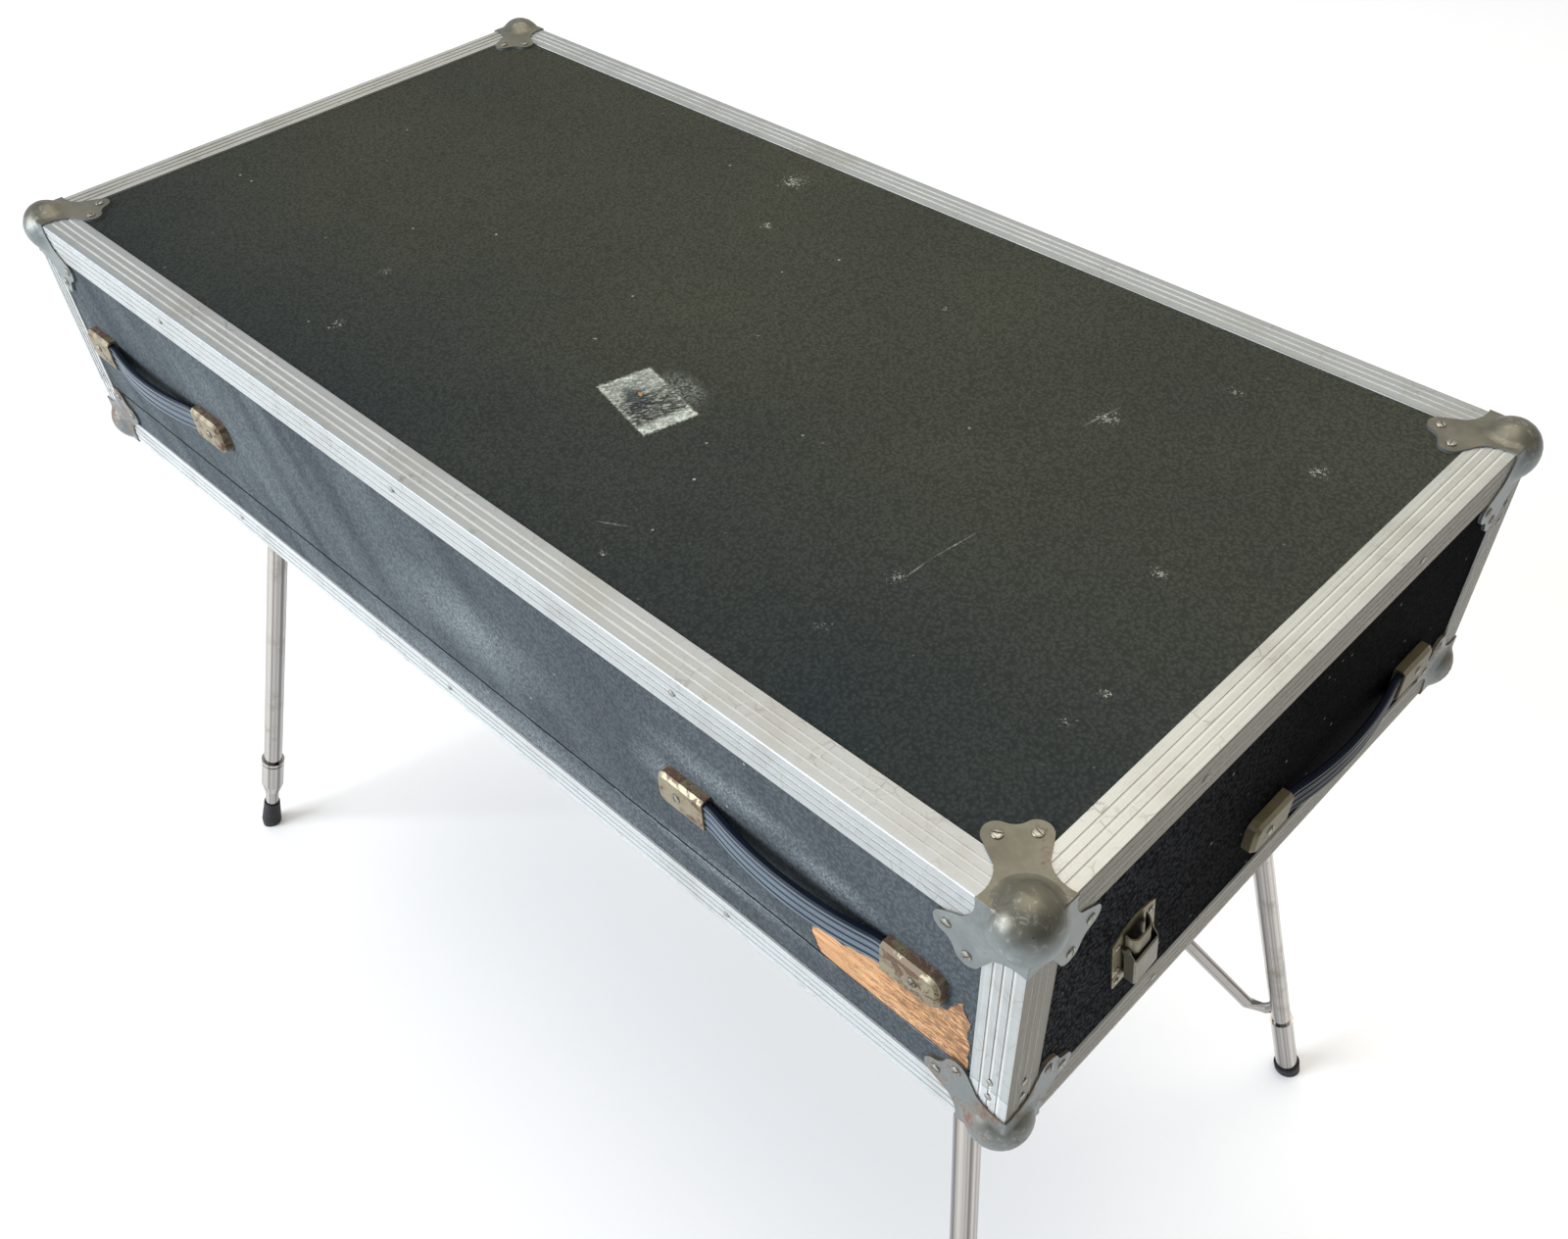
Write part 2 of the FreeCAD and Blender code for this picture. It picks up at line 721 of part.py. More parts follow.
def hinge_leaf_at(x, side):
    """One hinge leaf (side +1 on the lid, -1 on the base) with its own knuckles."""
    wall = half_width - edging_wall
    near, far = barrel_z + side * barrel_stand, barrel_z + side * hinge_leaf
    start = x - hinge_width / 2
    solids = [box(start, start + hinge_width, wall, wall + hinge_sheet, min(near, far), max(near, far))]
    pitch = hinge_width / knuckle_count
    for i in range(knuckle_count):
        if (i % 2 == 0) != (side < 0):
            continue
        low = start + i * pitch + barrel_clearance / 2
        length = pitch - barrel_clearance
        barrel = Part.makeCylinder(barrel_radius, length, V(low, barrel_y, barrel_z), V(1, 0, 0))
        web = box(low, low + length, wall + barrel_clearance, wall + hinge_sheet,
                  min(barrel_z, near), max(barrel_z, near))
        solids += [barrel, web]
    fit = hinge_pin_radius + (pin_clearance if side > 0 else 0)
    bore = Part.makeCylinder(fit, hinge_width, V(start, barrel_y, barrel_z), V(1, 0, 0))
    return joined(solids).cut(bore)


def hinges():
    starts = [V(x - hinge_width / 2, barrel_y, barrel_z) for x in hinge_places]
    pins = [Part.makeCylinder(hinge_pin_radius, hinge_width, start, V(1, 0, 0)) for start in starts]
    return {
        "hinge_lid_leaves": Part.makeCompound([hinge_leaf_at(x, 1) for x in hinge_places]),
        "hinge_base_leaves": Part.makeCompound([hinge_leaf_at(x, -1) for x in hinge_places]),
        "hinge_pins": Part.makeCompound(pins),
    }


def leg_frame(end, side):
    """Placement whose +Z runs down the leg's axis from the underside of the case."""
    splay_x, splay_y, back = {"front": (front_splay_x, front_splay_y, -1),
                              "rear": (rear_splay_x, rear_splay_y, 1)}[end]
    head = V(side * leg_top_x, back * leg_top_y, stand_height)
    foot = head + V(side * splay_x, back * splay_y, -stand_height)
    return FreeCAD.Placement(head, FreeCAD.Rotation(V(0, 0, 1), foot - head))


def on_leg(shape, end, side):
    copy = shape.copy()
    copy.Placement = leg_frame(end, side).multiply(copy.Placement)
    return copy


def above_floor(shape):
    reach = half_length + half_width
    return shape.cut(box(-reach, reach, -reach, reach, -overrun, 0))


def tube(radius, wall, start, end):
    length = end - start
    outer = Part.makeCylinder(radius, length, V(0, 0, start))
    return outer.cut(Part.makeCylinder(radius - wall, length, V(0, 0, start)))


def leg_socket(end, side):
    """Plate under the base with a slanted boss that holds the leg's top."""
    radius = {"front": front_tube_radius, "rear": rear_tube_radius}[end]
    frame = leg_frame(end, side)
    head = frame.Base
    seat = stand_height + edging_wall
    plate = rounded_plate(socket_plate / 2, socket_plate / 2, socket_corner, socket_plate_thickness)
    plate.translate(V(head.x, head.y, seat - socket_plate_thickness))
    boss = Part.makeCylinder(radius + socket_wall, socket_depth + overrun, V(0, 0, -overrun))
    boss = on_leg(boss, end, side)
    reach = half_length + half_width
    boss = boss.common(box(-reach, reach, -reach, reach, 0, seat))
    bore = Part.makeCylinder(radius + leg_clearance, socket_depth, V(0, 0, leg_tube_start))
    return joined([plate, boss]).cut(on_leg(bore, end, side))


def leg_collar():
    """Twist collar that closes on the extension tube."""
    bore = front_tube_radius + leg_clearance
    throat = extension_radius + leg_clearance
    step = front_tube_end + collar_step_gap
    lip_end = collar_top + collar_lip_length
    groove_end = lip_end + collar_groove_length
    return turned([(bore, collar_top), (collar_lip_radius, collar_top), (collar_lip_radius, lip_end),
                   (collar_groove_radius, lip_end), (collar_groove_radius, groove_end),
                   (collar_radius, groove_end), (collar_radius, collar_bottom - collar_taper_length),
                   (collar_nose_radius, collar_bottom), (throat, collar_bottom), (throat, step), (bore, step)])


def extension_tube():
    return tube(extension_radius, leg_tube_wall, extension_start, extension_end)


def extension_bush():
    """Plastic guide ring at the upper end of the extension tube."""
    inner = extension_radius
    outer = front_tube_radius - leg_tube_wall - leg_clearance
    end = extension_start + bush_length
    return turned([(inner, extension_start), (outer, extension_start), (outer, end), (inner, end)])


def front_tip():
    """Flared rubber tip, worn flat on the floor."""
    return turned([(extension_radius, front_tip_top), (front_tip_top_radius, front_tip_top),
                   (front_tip_radius, front_tip_top + front_tip_flare_run),
                   (front_tip_nose_radius, front_tip_nose),
                   (0, front_tip_nose), (0, extension_end), (extension_radius, extension_end)])


def rear_sleeve():
    """Thicker lower sleeve with a rolled lip, pressed over the end of the tube."""
    bore = rear_tube_radius + leg_clearance
    lip_end = sleeve_top + sleeve_lip_length
    return turned([(bore, sleeve_top), (sleeve_lip_radius, sleeve_top), (sleeve_lip_radius, lip_end),
                   (sleeve_radius, lip_end), (sleeve_radius, sleeve_end), (bore, sleeve_end)])


def rear_tip():
    return turned([(sleeve_radius, rear_tip_top), (rear_tip_radius, rear_tip_top),
                   (rear_tip_nose_radius, rear_tip_nose), (0, rear_tip_nose), (0, sleeve_end),
                   (sleeve_radius, sleeve_end)])


def ellipse_ring(centre, major, minor, across, normal):
    """Closed elliptical wire with its long axis along the given direction."""
    turn = FreeCAD.Rotation(across, normal.cross(across), normal, "XZY")
    ring = Part.Wire([Part.Ellipse(V(0, 0, 0), major, minor).toShape()])
    ring.Placement = FreeCAD.Placement(centre, turn)
    return ring


def rear_brace(side):
    """Tube pressed flat at both ends: upright against the leg, level under the case."""
    frame = leg_frame("rear", side)
    down = frame.Rotation.multVec(V(0, 0, 1))
    leg_point = frame.multVec(V(0, 0, brace_on_leg))
    seat = stand_height + edging_wall
    top_point = V(side * brace_top_x, brace_top_y, seat - brace_tab_thickness / 2)
    level = V(top_point.x - leg_point.x, top_point.y - leg_point.y, 0).normalize()
    across = V(0, 0, 1).cross(level)
    upright = down.cross(across).normalize()
    shoe_end = leg_point + upright * (rear_tube_radius + brace_shoe)
    low_neck = shoe_end + (upright - down).normalize() * brace_press_length
    tab_start = top_point - level * brace_tab_length / 2
    high_neck = tab_start - (level + V(0, 0, 1)).normalize() * brace_press_length
    run = (high_neck - low_neck).normalize()
    shoe = ellipse_ring(shoe_end, brace_press_half_height, brace_press_half_thickness, down, upright)
    low = ellipse_ring(low_neck, brace_radius, brace_radius, run.cross(across), run)
    high_side = ellipse_ring(high_neck, brace_radius, brace_radius, across, run)
    flat = ellipse_ring(tab_start, brace_tab_width / 2, brace_tab_thickness / 2, across, level)
    body = Part.makeCylinder(brace_radius, (high_neck - low_neck).Length, low_neck, run)
    foot = Part.Face(shoe).extrude(-upright * (brace_shoe + rear_tube_radius))
    foot_loft = Part.makeLoft([shoe, low], True)
    head_loft = Part.makeLoft([high_side, flat], True)
    tab = rounded_plate(brace_tab_length / 2, brace_tab_width / 2, brace_tab_corner, brace_tab_thickness)
    tab = placed(tab, top_point - V(0, 0, brace_tab_thickness / 2), level, across, V(0, 0, 1))
    brace = joined([body, foot, foot_loft, head_loft, tab])
    leg = on_leg(Part.makeCylinder(rear_tube_radius, rear_tube_end), "rear", side)
    return brace.cut(leg)


def brace_bolts():
    level = stand_height + edging_wall - brace_tab_thickness - brace_bolt_height
    seats = [V(side * brace_top_x, brace_top_y, level) for side in (-1, 1)]
    return Part.makeCompound([Part.makeCylinder(brace_bolt_radius, brace_bolt_height, seat) for seat in seats])


def legs():
    front_tube = tube(front_tube_radius, leg_tube_wall, leg_tube_start, front_tube_end)
    rear_tube = tube(rear_tube_radius, leg_tube_wall, leg_tube_start, rear_tube_end)
    sides = (("left", -1), ("right", 1))
    sockets = [leg_socket(end, side) for end in ("front", "rear") for _, side in sides]
    nodes = {
        "leg_sockets": Part.makeCompound(sockets),
        "rear_leg_sleeves": Part.makeCompound([on_leg(rear_sleeve(), "rear", side) for _, side in sides]),
        "rear_feet": Part.makeCompound([above_floor(on_leg(rear_tip(), "rear", side)) for _, side in sides]),
        "brace_bolts": brace_bolts(),
    }
    for name, side in sides:
        nodes["front_leg_tube_" + name] = on_leg(front_tube, "front", side)
        nodes["rear_leg_tube_" + name] = on_leg(rear_tube, "rear", side)
        nodes["leg_collar_" + name] = on_leg(leg_collar(), "front", side)
        nodes["leg_extension_" + name] = on_leg(extension_tube(), "front", side)
        nodes["extension_bush_" + name] = on_leg(extension_bush(), "front", side)
        nodes["front_foot_" + name] = above_floor(on_leg(front_tip(), "front", side))
        nodes["rear_brace_" + name] = rear_brace(side)
    return nodes


def screws():
    """Screws of the handles and latches; each half has its own group."""
    lid = handle_screws("front") + latch_screws((latch_screw_low, latch_screw_high))
    base = handle_screws("side") + latch_screws(((keeper_top + keeper_foot) / 2,))
    return {"lid_screws": Part.makeCompound(lid), "base_screws": Part.makeCompound(base)}


def all_nodes():
    nodes = {}
    for maker in (plywood_panels, coverings, edgings, ball_corners, strap_handles, latches, hinges, legs, screws):
        nodes.update(maker())
    return nodes


def show(name, point):
    print("point", name, round(point.x, 4), round(point.y, 4), round(point.z, 4))


def main():
    nodes = all_nodes()
    reach = Part.makeCompound(list(nodes.values())).BoundBox
    centring = V(0, -(reach.YMin + reach.YMax) / 2, 0)
    os.makedirs("parts", exist_ok=True)
    for name, shape in nodes.items():
        shape.translate(centring)
        shape.exportStep("parts/" + name + ".step")
    show("centring", centring)
    show("lid_hinge", V(0, barrel_y, barrel_z) + centring)
    for name, side in (("left", -1), ("right", 1)):
        origin, along, up, outward = latch_frame(side)
        show("latch_pivot_" + name, origin + up * pivot_up + outward * pivot_stand + centring)
        show("latch_rivet_" + name, origin + up * rivet_up + outward * rivet_stand + centring)
        show("latch_axis_" + name, along)
        frame = leg_frame("front", side)
        show("leg_axis_" + name, frame.Rotation.multVec(V(0, 0, 1)))
        show("leg_head_" + name, frame.Base + centring)


main()
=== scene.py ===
import math

import bmesh
import bpy
from mathutils import Matrix, Vector


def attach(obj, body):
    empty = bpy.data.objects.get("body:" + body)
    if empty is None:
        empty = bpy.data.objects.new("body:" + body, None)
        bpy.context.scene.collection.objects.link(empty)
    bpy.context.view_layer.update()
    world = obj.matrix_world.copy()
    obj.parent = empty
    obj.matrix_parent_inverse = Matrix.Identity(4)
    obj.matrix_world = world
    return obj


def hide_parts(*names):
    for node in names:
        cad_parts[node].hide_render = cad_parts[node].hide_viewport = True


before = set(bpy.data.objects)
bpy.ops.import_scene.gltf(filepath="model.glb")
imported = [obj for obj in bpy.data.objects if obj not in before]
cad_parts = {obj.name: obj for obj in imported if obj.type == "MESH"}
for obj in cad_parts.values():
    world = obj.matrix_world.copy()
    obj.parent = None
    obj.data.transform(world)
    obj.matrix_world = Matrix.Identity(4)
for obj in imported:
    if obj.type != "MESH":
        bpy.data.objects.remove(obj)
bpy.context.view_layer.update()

# Looks of an old instrument case on tube legs. Metres, in the frame of the solids: +Z up, +X along the
# long side, +Y to the hinged back.

mm = 0.001
half_length = 593 * mm
front_y = -281.75 * mm
back_y = 308.25 * mm
bottom_z = 660.4 * mm
top_z = 902.4 * mm
middle_y = (front_y + back_y) / 2
half_width = (back_y - front_y) / 2
edging_wall = 1.5 * mm
base_front = 61.95 * mm
base_back = 176.9 * mm
edging_face = 30 * mm
# Screws in the two lobes of a corner's tongue, and the pressing under their heads
lobe_reach = (56 * mm, 40 * mm)
leaf_thickness = 1.2 * mm
# Hinges and leg sockets, as the solids have them
hinge_x = 400 * mm
hinge_z = 837.85 * mm
hinge_leaf = 1.5 * mm
# Screws of a hinge leaf, along the pin and away from it
hinge_screws = ((-22 * mm, 20 * mm), (0, 26 * mm), (22 * mm, 20 * mm))
socket_x = 473.5 * mm
socket_y = 175.5 * mm
socket_plate = 5 * mm
socket_screw = 32 * mm
# Rivets: along a long rail, from the middle of a short rail, and from the seam on a post
long_rivets = {"lid": (-344 * mm, 4 * mm, 311 * mm), "base": (-339 * mm, 0, 339 * mm)}
short_rivet = 130 * mm
post_rivet = 9 * mm


def linear(code):
    """Linear colour of an sRGB hex value."""
    parts = [int(code[i:i + 2], 16) / 255 for i in (1, 3, 5)]
    return [c / 12.92 if c <= 0.04045 else ((c + 0.055) / 1.055) ** 2.4 for c in parts] + [1]


def put(tree, kind, inputs=(), out=0, **settings):
    """Adds a node with its settings, fills or links its inputs and gives back one of its outputs."""
    node = tree.nodes.new("ShaderNode" + kind)
    for name, value in settings.items():
        setattr(node, name, value)
    for name, value in dict(inputs).items():
        if isinstance(value, bpy.types.NodeSocket):
            tree.links.new(value, node.inputs[name])
        else:
            node.inputs[name].default_value = value
    return node.outputs[out]


def new_finish(name):
    """Empty material tree, with the coordinates of the piece and its own normals."""
    material = bpy.data.materials.new(name)
    material.use_nodes = True
    tree = material.node_tree
    tree.nodes.clear()
    return material, tree, put(tree, "TexCoord", out="Object"), put(tree, "TexCoord", out="Normal")


def close_finish(tree, inputs):
    """Surface shader from the given inputs, joined to the material's output."""
    shader = put(tree, "BsdfPrincipled", inputs)
    ending = tree.nodes.new("ShaderNodeOutputMaterial")
    tree.links.new(shader, ending.inputs["Surface"])


def glue_film(tree, place):
    """Film of dried glue on the lid, about 78 by 47 mm: thick along one end, thin and flecked in the middle,
    torn white along its edges and smeared out beyond one side. Gives back its cover, the scraped hole and the
    bare spot in it."""
    local = put(tree, "Mapping", {"Vector": place, "Location": (76.3 * mm, -93.2 * mm, top_z),
                                  "Rotation": (0, 0, math.radians(-13.5)),
                                  "Scale": (39.2 * mm, 23.7 * mm, 1)}, vector_type="TEXTURE")
    along = put(tree, "SeparateXYZ", {0: local}, out=0)
    fine = put(tree, "TexNoise", {"Vector": place, "Scale": 1 / (2.2 * mm), "Detail": 5, "Roughness": 0.7})
    drawn = put(tree, "Mapping", {"Vector": place, "Rotation": (0, 0, math.radians(62)),
                                  "Scale": (7 * mm, 2.4 * mm, 1)}, vector_type="TEXTURE")
    streaky = put(tree, "TexNoise", {"Vector": drawn, "Scale": 1, "Detail": 4, "Roughness": 0.6,
                                     "Distortion": 1.2})
    axes = put(tree, "VectorMath", {0: local}, operation="ABSOLUTE")
    reach = put(tree, "Math", {0: put(tree, "SeparateXYZ", {0: axes}, out=0),
                               1: put(tree, "SeparateXYZ", {0: axes}, out=1)}, operation="MAXIMUM")
    reach = put(tree, "Math", {0: fine, 1: 0.34, 2: reach}, operation="MULTIPLY_ADD")
    inside = put(tree, "MapRange", {"Value": reach, "From Min": 1.19, "From Max": 1.13})
    rim = put(tree, "MapRange", {"Value": reach, "From Min": 1.02, "From Max": 1.14, "To Max": 0.45})
    torn = put(tree, "MapRange", {"Value": streaky, "From Min": 0.36, "From Max": 0.6})
    rim = put(tree, "Math", {0: rim, 1: torn}, operation="MULTIPLY")
    thick = put(tree, "MapRange", {"Value": along, "From Min": 0.62, "From Max": 0.74, "To Max": 0.5})
    milky = put(tree, "MapRange", {"Value": along, "From Min": 0.0, "From Max": -0.45, "To Max": 0.3})
    flecks = put(tree, "MapRange", {"Value": streaky, "From Min": 0.48, "From Max": 0.62})
    hole = put(tree, "VectorMath", {0: local, 1: (-0.2, -0.2, 0)}, out="Value", operation="DISTANCE")
    hole = put(tree, "Math", {0: streaky, 1: 0.5, 2: hole}, operation="MULTIPLY_ADD")
    hole = put(tree, "MapRange", {"Value": hole, "From Min": 0.72, "From Max": 0.5})
    film = put(tree, "Math", {0: thick, 1: milky}, operation="MAXIMUM")
    cover = put(tree, "Math", {0: rim, 1: film}, operation="ADD")
    cover = put(tree, "Math", {0: flecks, 1: 0.5, 2: cover}, operation="MULTIPLY_ADD")
    uneven = put(tree, "MapRange", {"Value": fine, "From Min": 0.32, "From Max": 0.66,
                                    "To Min": 0.35, "To Max": 1.2})
    cover = put(tree, "Math", {0: cover, 1: uneven}, operation="MULTIPLY")
    scraped = put(tree, "MapRange", {"Value": hole, "To Min": 1.0, "To Max": 0.3})
    cover = put(tree, "Math", {0: cover, 1: scraped}, operation="MULTIPLY")
    cover = put(tree, "Math", {0: cover, 1: inside}, operation="MULTIPLY")
    beyond = put(tree, "VectorMath", {0: local, 1: (0.05, 1.2, 0)}, out="Value", operation="DISTANCE")
    beyond = put(tree, "MapRange", {"Value": beyond, "From Min": 0.85, "From Max": 0.1, "To Max": 0.55})
    smear = put(tree, "Math", {0: put(tree, "MapRange", {"Value": fine, "From Min": 0.45, "From Max": 0.72}),
                               1: beyond}, operation="MULTIPLY")
    cover = put(tree, "Math", {0: cover, 1: smear}, operation="MAXIMUM", use_clamp=True)
    spot = put(tree, "Mapping", {"Vector": place, "Location": (66.4 * mm, -91.0 * mm, top_z),
                                 "Rotation": (0, 0, math.radians(-30)),
                                 "Scale": (4.4 * mm, 2.0 * mm, 4 * mm)}, vector_type="TEXTURE")
    bare = put(tree, "VectorMath", {0: spot}, out="Value", operation="LENGTH")
    bare = put(tree, "Math", {0: fine, 1: 0.9, 2: bare}, operation="MULTIPLY_ADD")
    bare = put(tree, "MapRange", {"Value": bare, "From Min": 1.35, "From Max": 1.15})
    return cover, put(tree, "Math", {0: hole, 1: inside}, operation="MULTIPLY"), bare


# Scuffs on the top of the lid: x, y and reach in millimetres
lid_scuffs = [(-86.9, 234.7, 26), (-46.3, 159.4, 13), (499.4, 163.7, 14), (479.2, 1.4, 14),
              (351.8, 119.1, 18), (-242.2, -115.8, 11), (-200.8, -190.6, 12), (516.7, -112.4, 9),
              (513.8, -147.6, 9), (353.8, -117.3, 13), (76.1, 25.8, 7), (189.4, -233.6, 8),
              (162.9, 155.7, 6), (350.3, -184.6, 9), (403.0, 209.7, 11), (396.7, 289.5, 9),
              (-20.3, -64.5, 6)]
# Rubbed places on the front: x and height from the top, reach along and across, in millimetres
front_rubs = [(352, -78, 75, 14), (438, -90, 50, 12), (300, -110, 45, 18), (60, -120, 90, 36),
              (330, -182, 100, 10), (60, -205, 220, 22)]
# Long scratches on the top of the lid: x and y of both ends in millimetres
lid_scratches = [(357.4, -91.8, 363.6, -43.9), (357.5, -115.5, 357.7, -90.1), (343.1, 94.5, 351.1, 139.6),
                 (158.0, -214.2, 181.8, -201.4)]


def dust_and_sheen_front(tree, place, pores, left):
    """Tone of the front: soft bands of painted sheen lean across it, mostly on its left half, and dust lies
    on the pores of rubbed places."""
    # Painted sheen: pale bands leaning across the front
    leaning = put(tree, "Mapping", {"Vector": place, "Rotation": (0, math.radians(-32), 0),
                                    "Scale": (34 * mm, 1, 230 * mm)}, vector_type="TEXTURE")
    painted_sheen_band = put(tree, "TexNoise", {"Vector": leaning, "Scale": 1, "Detail": 2, "Roughness": 0.45})
    painted_sheen_band = put(tree, "MapRange", {"Value": painted_sheen_band, "From Min": 0.36, "From Max": 0.70})
    painted_sheen_band = put(tree, "Math", {0: painted_sheen_band, 1: left}, operation="MULTIPLY")
    front_tone = put(tree, "MixRGB", {"Fac": painted_sheen_band, "Color1": linear("#4b5154"),
                                      "Color2": linear("#60676a")})
    rubbed = 0.0
    for x, below, reach, across in front_rubs:
        local = put(tree, "Mapping", {"Vector": place, "Location": (x * mm, front_y, top_z + below * mm),
                                      "Scale": (reach * mm, 1, across * mm)}, vector_type="TEXTURE")
        near = put(tree, "VectorMath", {0: local}, out="Value", operation="LENGTH")
        near = put(tree, "MapRange", {"Value": near, "From Min": 1.3, "From Max": 0.0})
        rubbed = put(tree, "Math", {0: rubbed, 1: near}, operation="MAXIMUM")
    crumbs = put(tree, "MapRange", {"Value": pores, "From Min": 0.42, "From Max": 0.66})
    haze = put(tree, "Math", {0: put(tree, "Math", {0: crumbs, 1: 0.6, 2: 0.15}, operation="MULTIPLY_ADD"),
                              1: rubbed}, operation="MULTIPLY")
    return put(tree, "MixRGB", {"Fac": haze, "Color1": front_tone, "Color2": linear("#959da0")})


def seam_shade_and_wear(tree, place, front, left, tone):
    """Painted shade in the gap at the seam, which rises to the back, with its edge worn pale on the right of
    the front.
    """
    depth = put(tree, "SeparateXYZ", {0: place}, out=1)
    height = put(tree, "SeparateXYZ", {0: place}, out=2)
    seam = put(tree, "MapRange", {"Value": depth, "From Min": front_y, "From Max": back_y,
                                  "To Min": bottom_z + base_front, "To Max": bottom_z + base_back})
    seam = put(tree, "Math", {0: height, 1: seam}, operation="SUBTRACT")
    # Painted shade: a dark line along the gap at the seam
    gap = put(tree, "MapRange", {"Value": put(tree, "Math", {0: seam}, operation="ABSOLUTE"),
                                 "From Min": 1.5 * mm, "From Max": 0.9 * mm, "To Max": 0.85})
    tone = put(tree, "MixRGB", {"Fac": gap, "Color1": tone, "Color2": linear("#08090a")})
    edge = put(tree, "Math", {0: seam, 1: -1.7 * mm}, operation="SUBTRACT")
    edge = put(tree, "Math", {0: edge}, operation="ABSOLUTE")
    edge = put(tree, "MapRange", {"Value": edge, "From Min": 0.9 * mm, "From Max": 0.3 * mm})
    chafed = put(tree, "TexNoise", {"Vector": place, "Scale": 1 / (12 * mm), "Detail": 4})
    chafed = put(tree, "MapRange", {"Value": chafed, "From Min": 0.45, "From Max": 0.62, "To Max": 0.6})
    right = put(tree, "Math", {0: 1.0, 1: left}, operation="SUBTRACT")
    chafed = put(tree, "Math", {0: chafed, 1: right}, operation="MULTIPLY")
    edge = put(tree, "Math", {0: edge, 1: chafed}, operation="MULTIPLY")
    edge = put(tree, "Math", {0: edge, 1: front}, operation="MULTIPLY")
    return put(tree, "MixRGB", {"Fac": edge, "Color1": tone, "Color2": linear("#a0a5a6")})


def pale_marks(tree, place):
    """How far pale marks cover the cloth: dust specks in a few of the cells, then scuffs and long scratches
    on the top."""
    specks = put(tree, "TexVoronoi", {"Vector": place, "Scale": 1 / (22 * mm)})
    chosen = put(tree, "SeparateXYZ", {0: specks.node.outputs["Color"]}, out=0)
    chosen = put(tree, "MapRange", {"Value": chosen, "From Min": 0.70, "From Max": 0.95, "To Max": 0.75})
    specks = put(tree, "MapRange", {"Value": specks, "From Min": 0.07, "From Max": 0.03})
    marks = put(tree, "Math", {0: specks, 1: chosen}, operation="MULTIPLY")
    wear = put(tree, "TexNoise", {"Vector": place, "Scale": 1 / (2.6 * mm), "Detail": 5, "Roughness": 0.7,
                                  "Distortion": 0.8})
    for x, y, reach in lid_scuffs:
        spot = put(tree, "VectorMath", {0: place, 1: (x * mm, y * mm, top_z)}, out="Value",
                   operation="DISTANCE")
        spot = put(tree, "MapRange", {"Value": spot, "From Min": reach * mm, "From Max": 0, "To Max": 0.235})
        spot = put(tree, "Math", {0: spot, 1: wear}, operation="ADD")
        spot = put(tree, "MapRange", {"Value": spot, "From Min": 0.70, "From Max": 0.79, "To Max": 0.85})
        marks = put(tree, "Math", {0: marks, 1: spot}, operation="MAXIMUM")
    faint = put(tree, "MapRange", {"Value": wear, "From Min": 0.35, "From Max": 0.7, "To Max": 0.7})
    for x, y, end_x, end_y in lid_scratches:
        turn = math.atan2(end_y - y, end_x - x)
        half = math.hypot(end_x - x, end_y - y) / 2
        centre = ((x + end_x) / 2 * mm, (y + end_y) / 2 * mm, top_z)
        local = put(tree, "Mapping", {"Vector": place, "Location": centre, "Rotation": (0, 0, turn),
                                      "Scale": (half * mm, 0.9 * mm, 4 * mm)}, vector_type="TEXTURE")
        line = put(tree, "VectorMath", {0: local}, out="Value", operation="LENGTH")
        line = put(tree, "MapRange", {"Value": line, "From Min": 1.1, "From Max": 0.4})
        line = put(tree, "Math", {0: line, 1: faint}, operation="MULTIPLY")
        marks = put(tree, "Math", {0: marks, 1: line}, operation="MAXIMUM")
    return marks


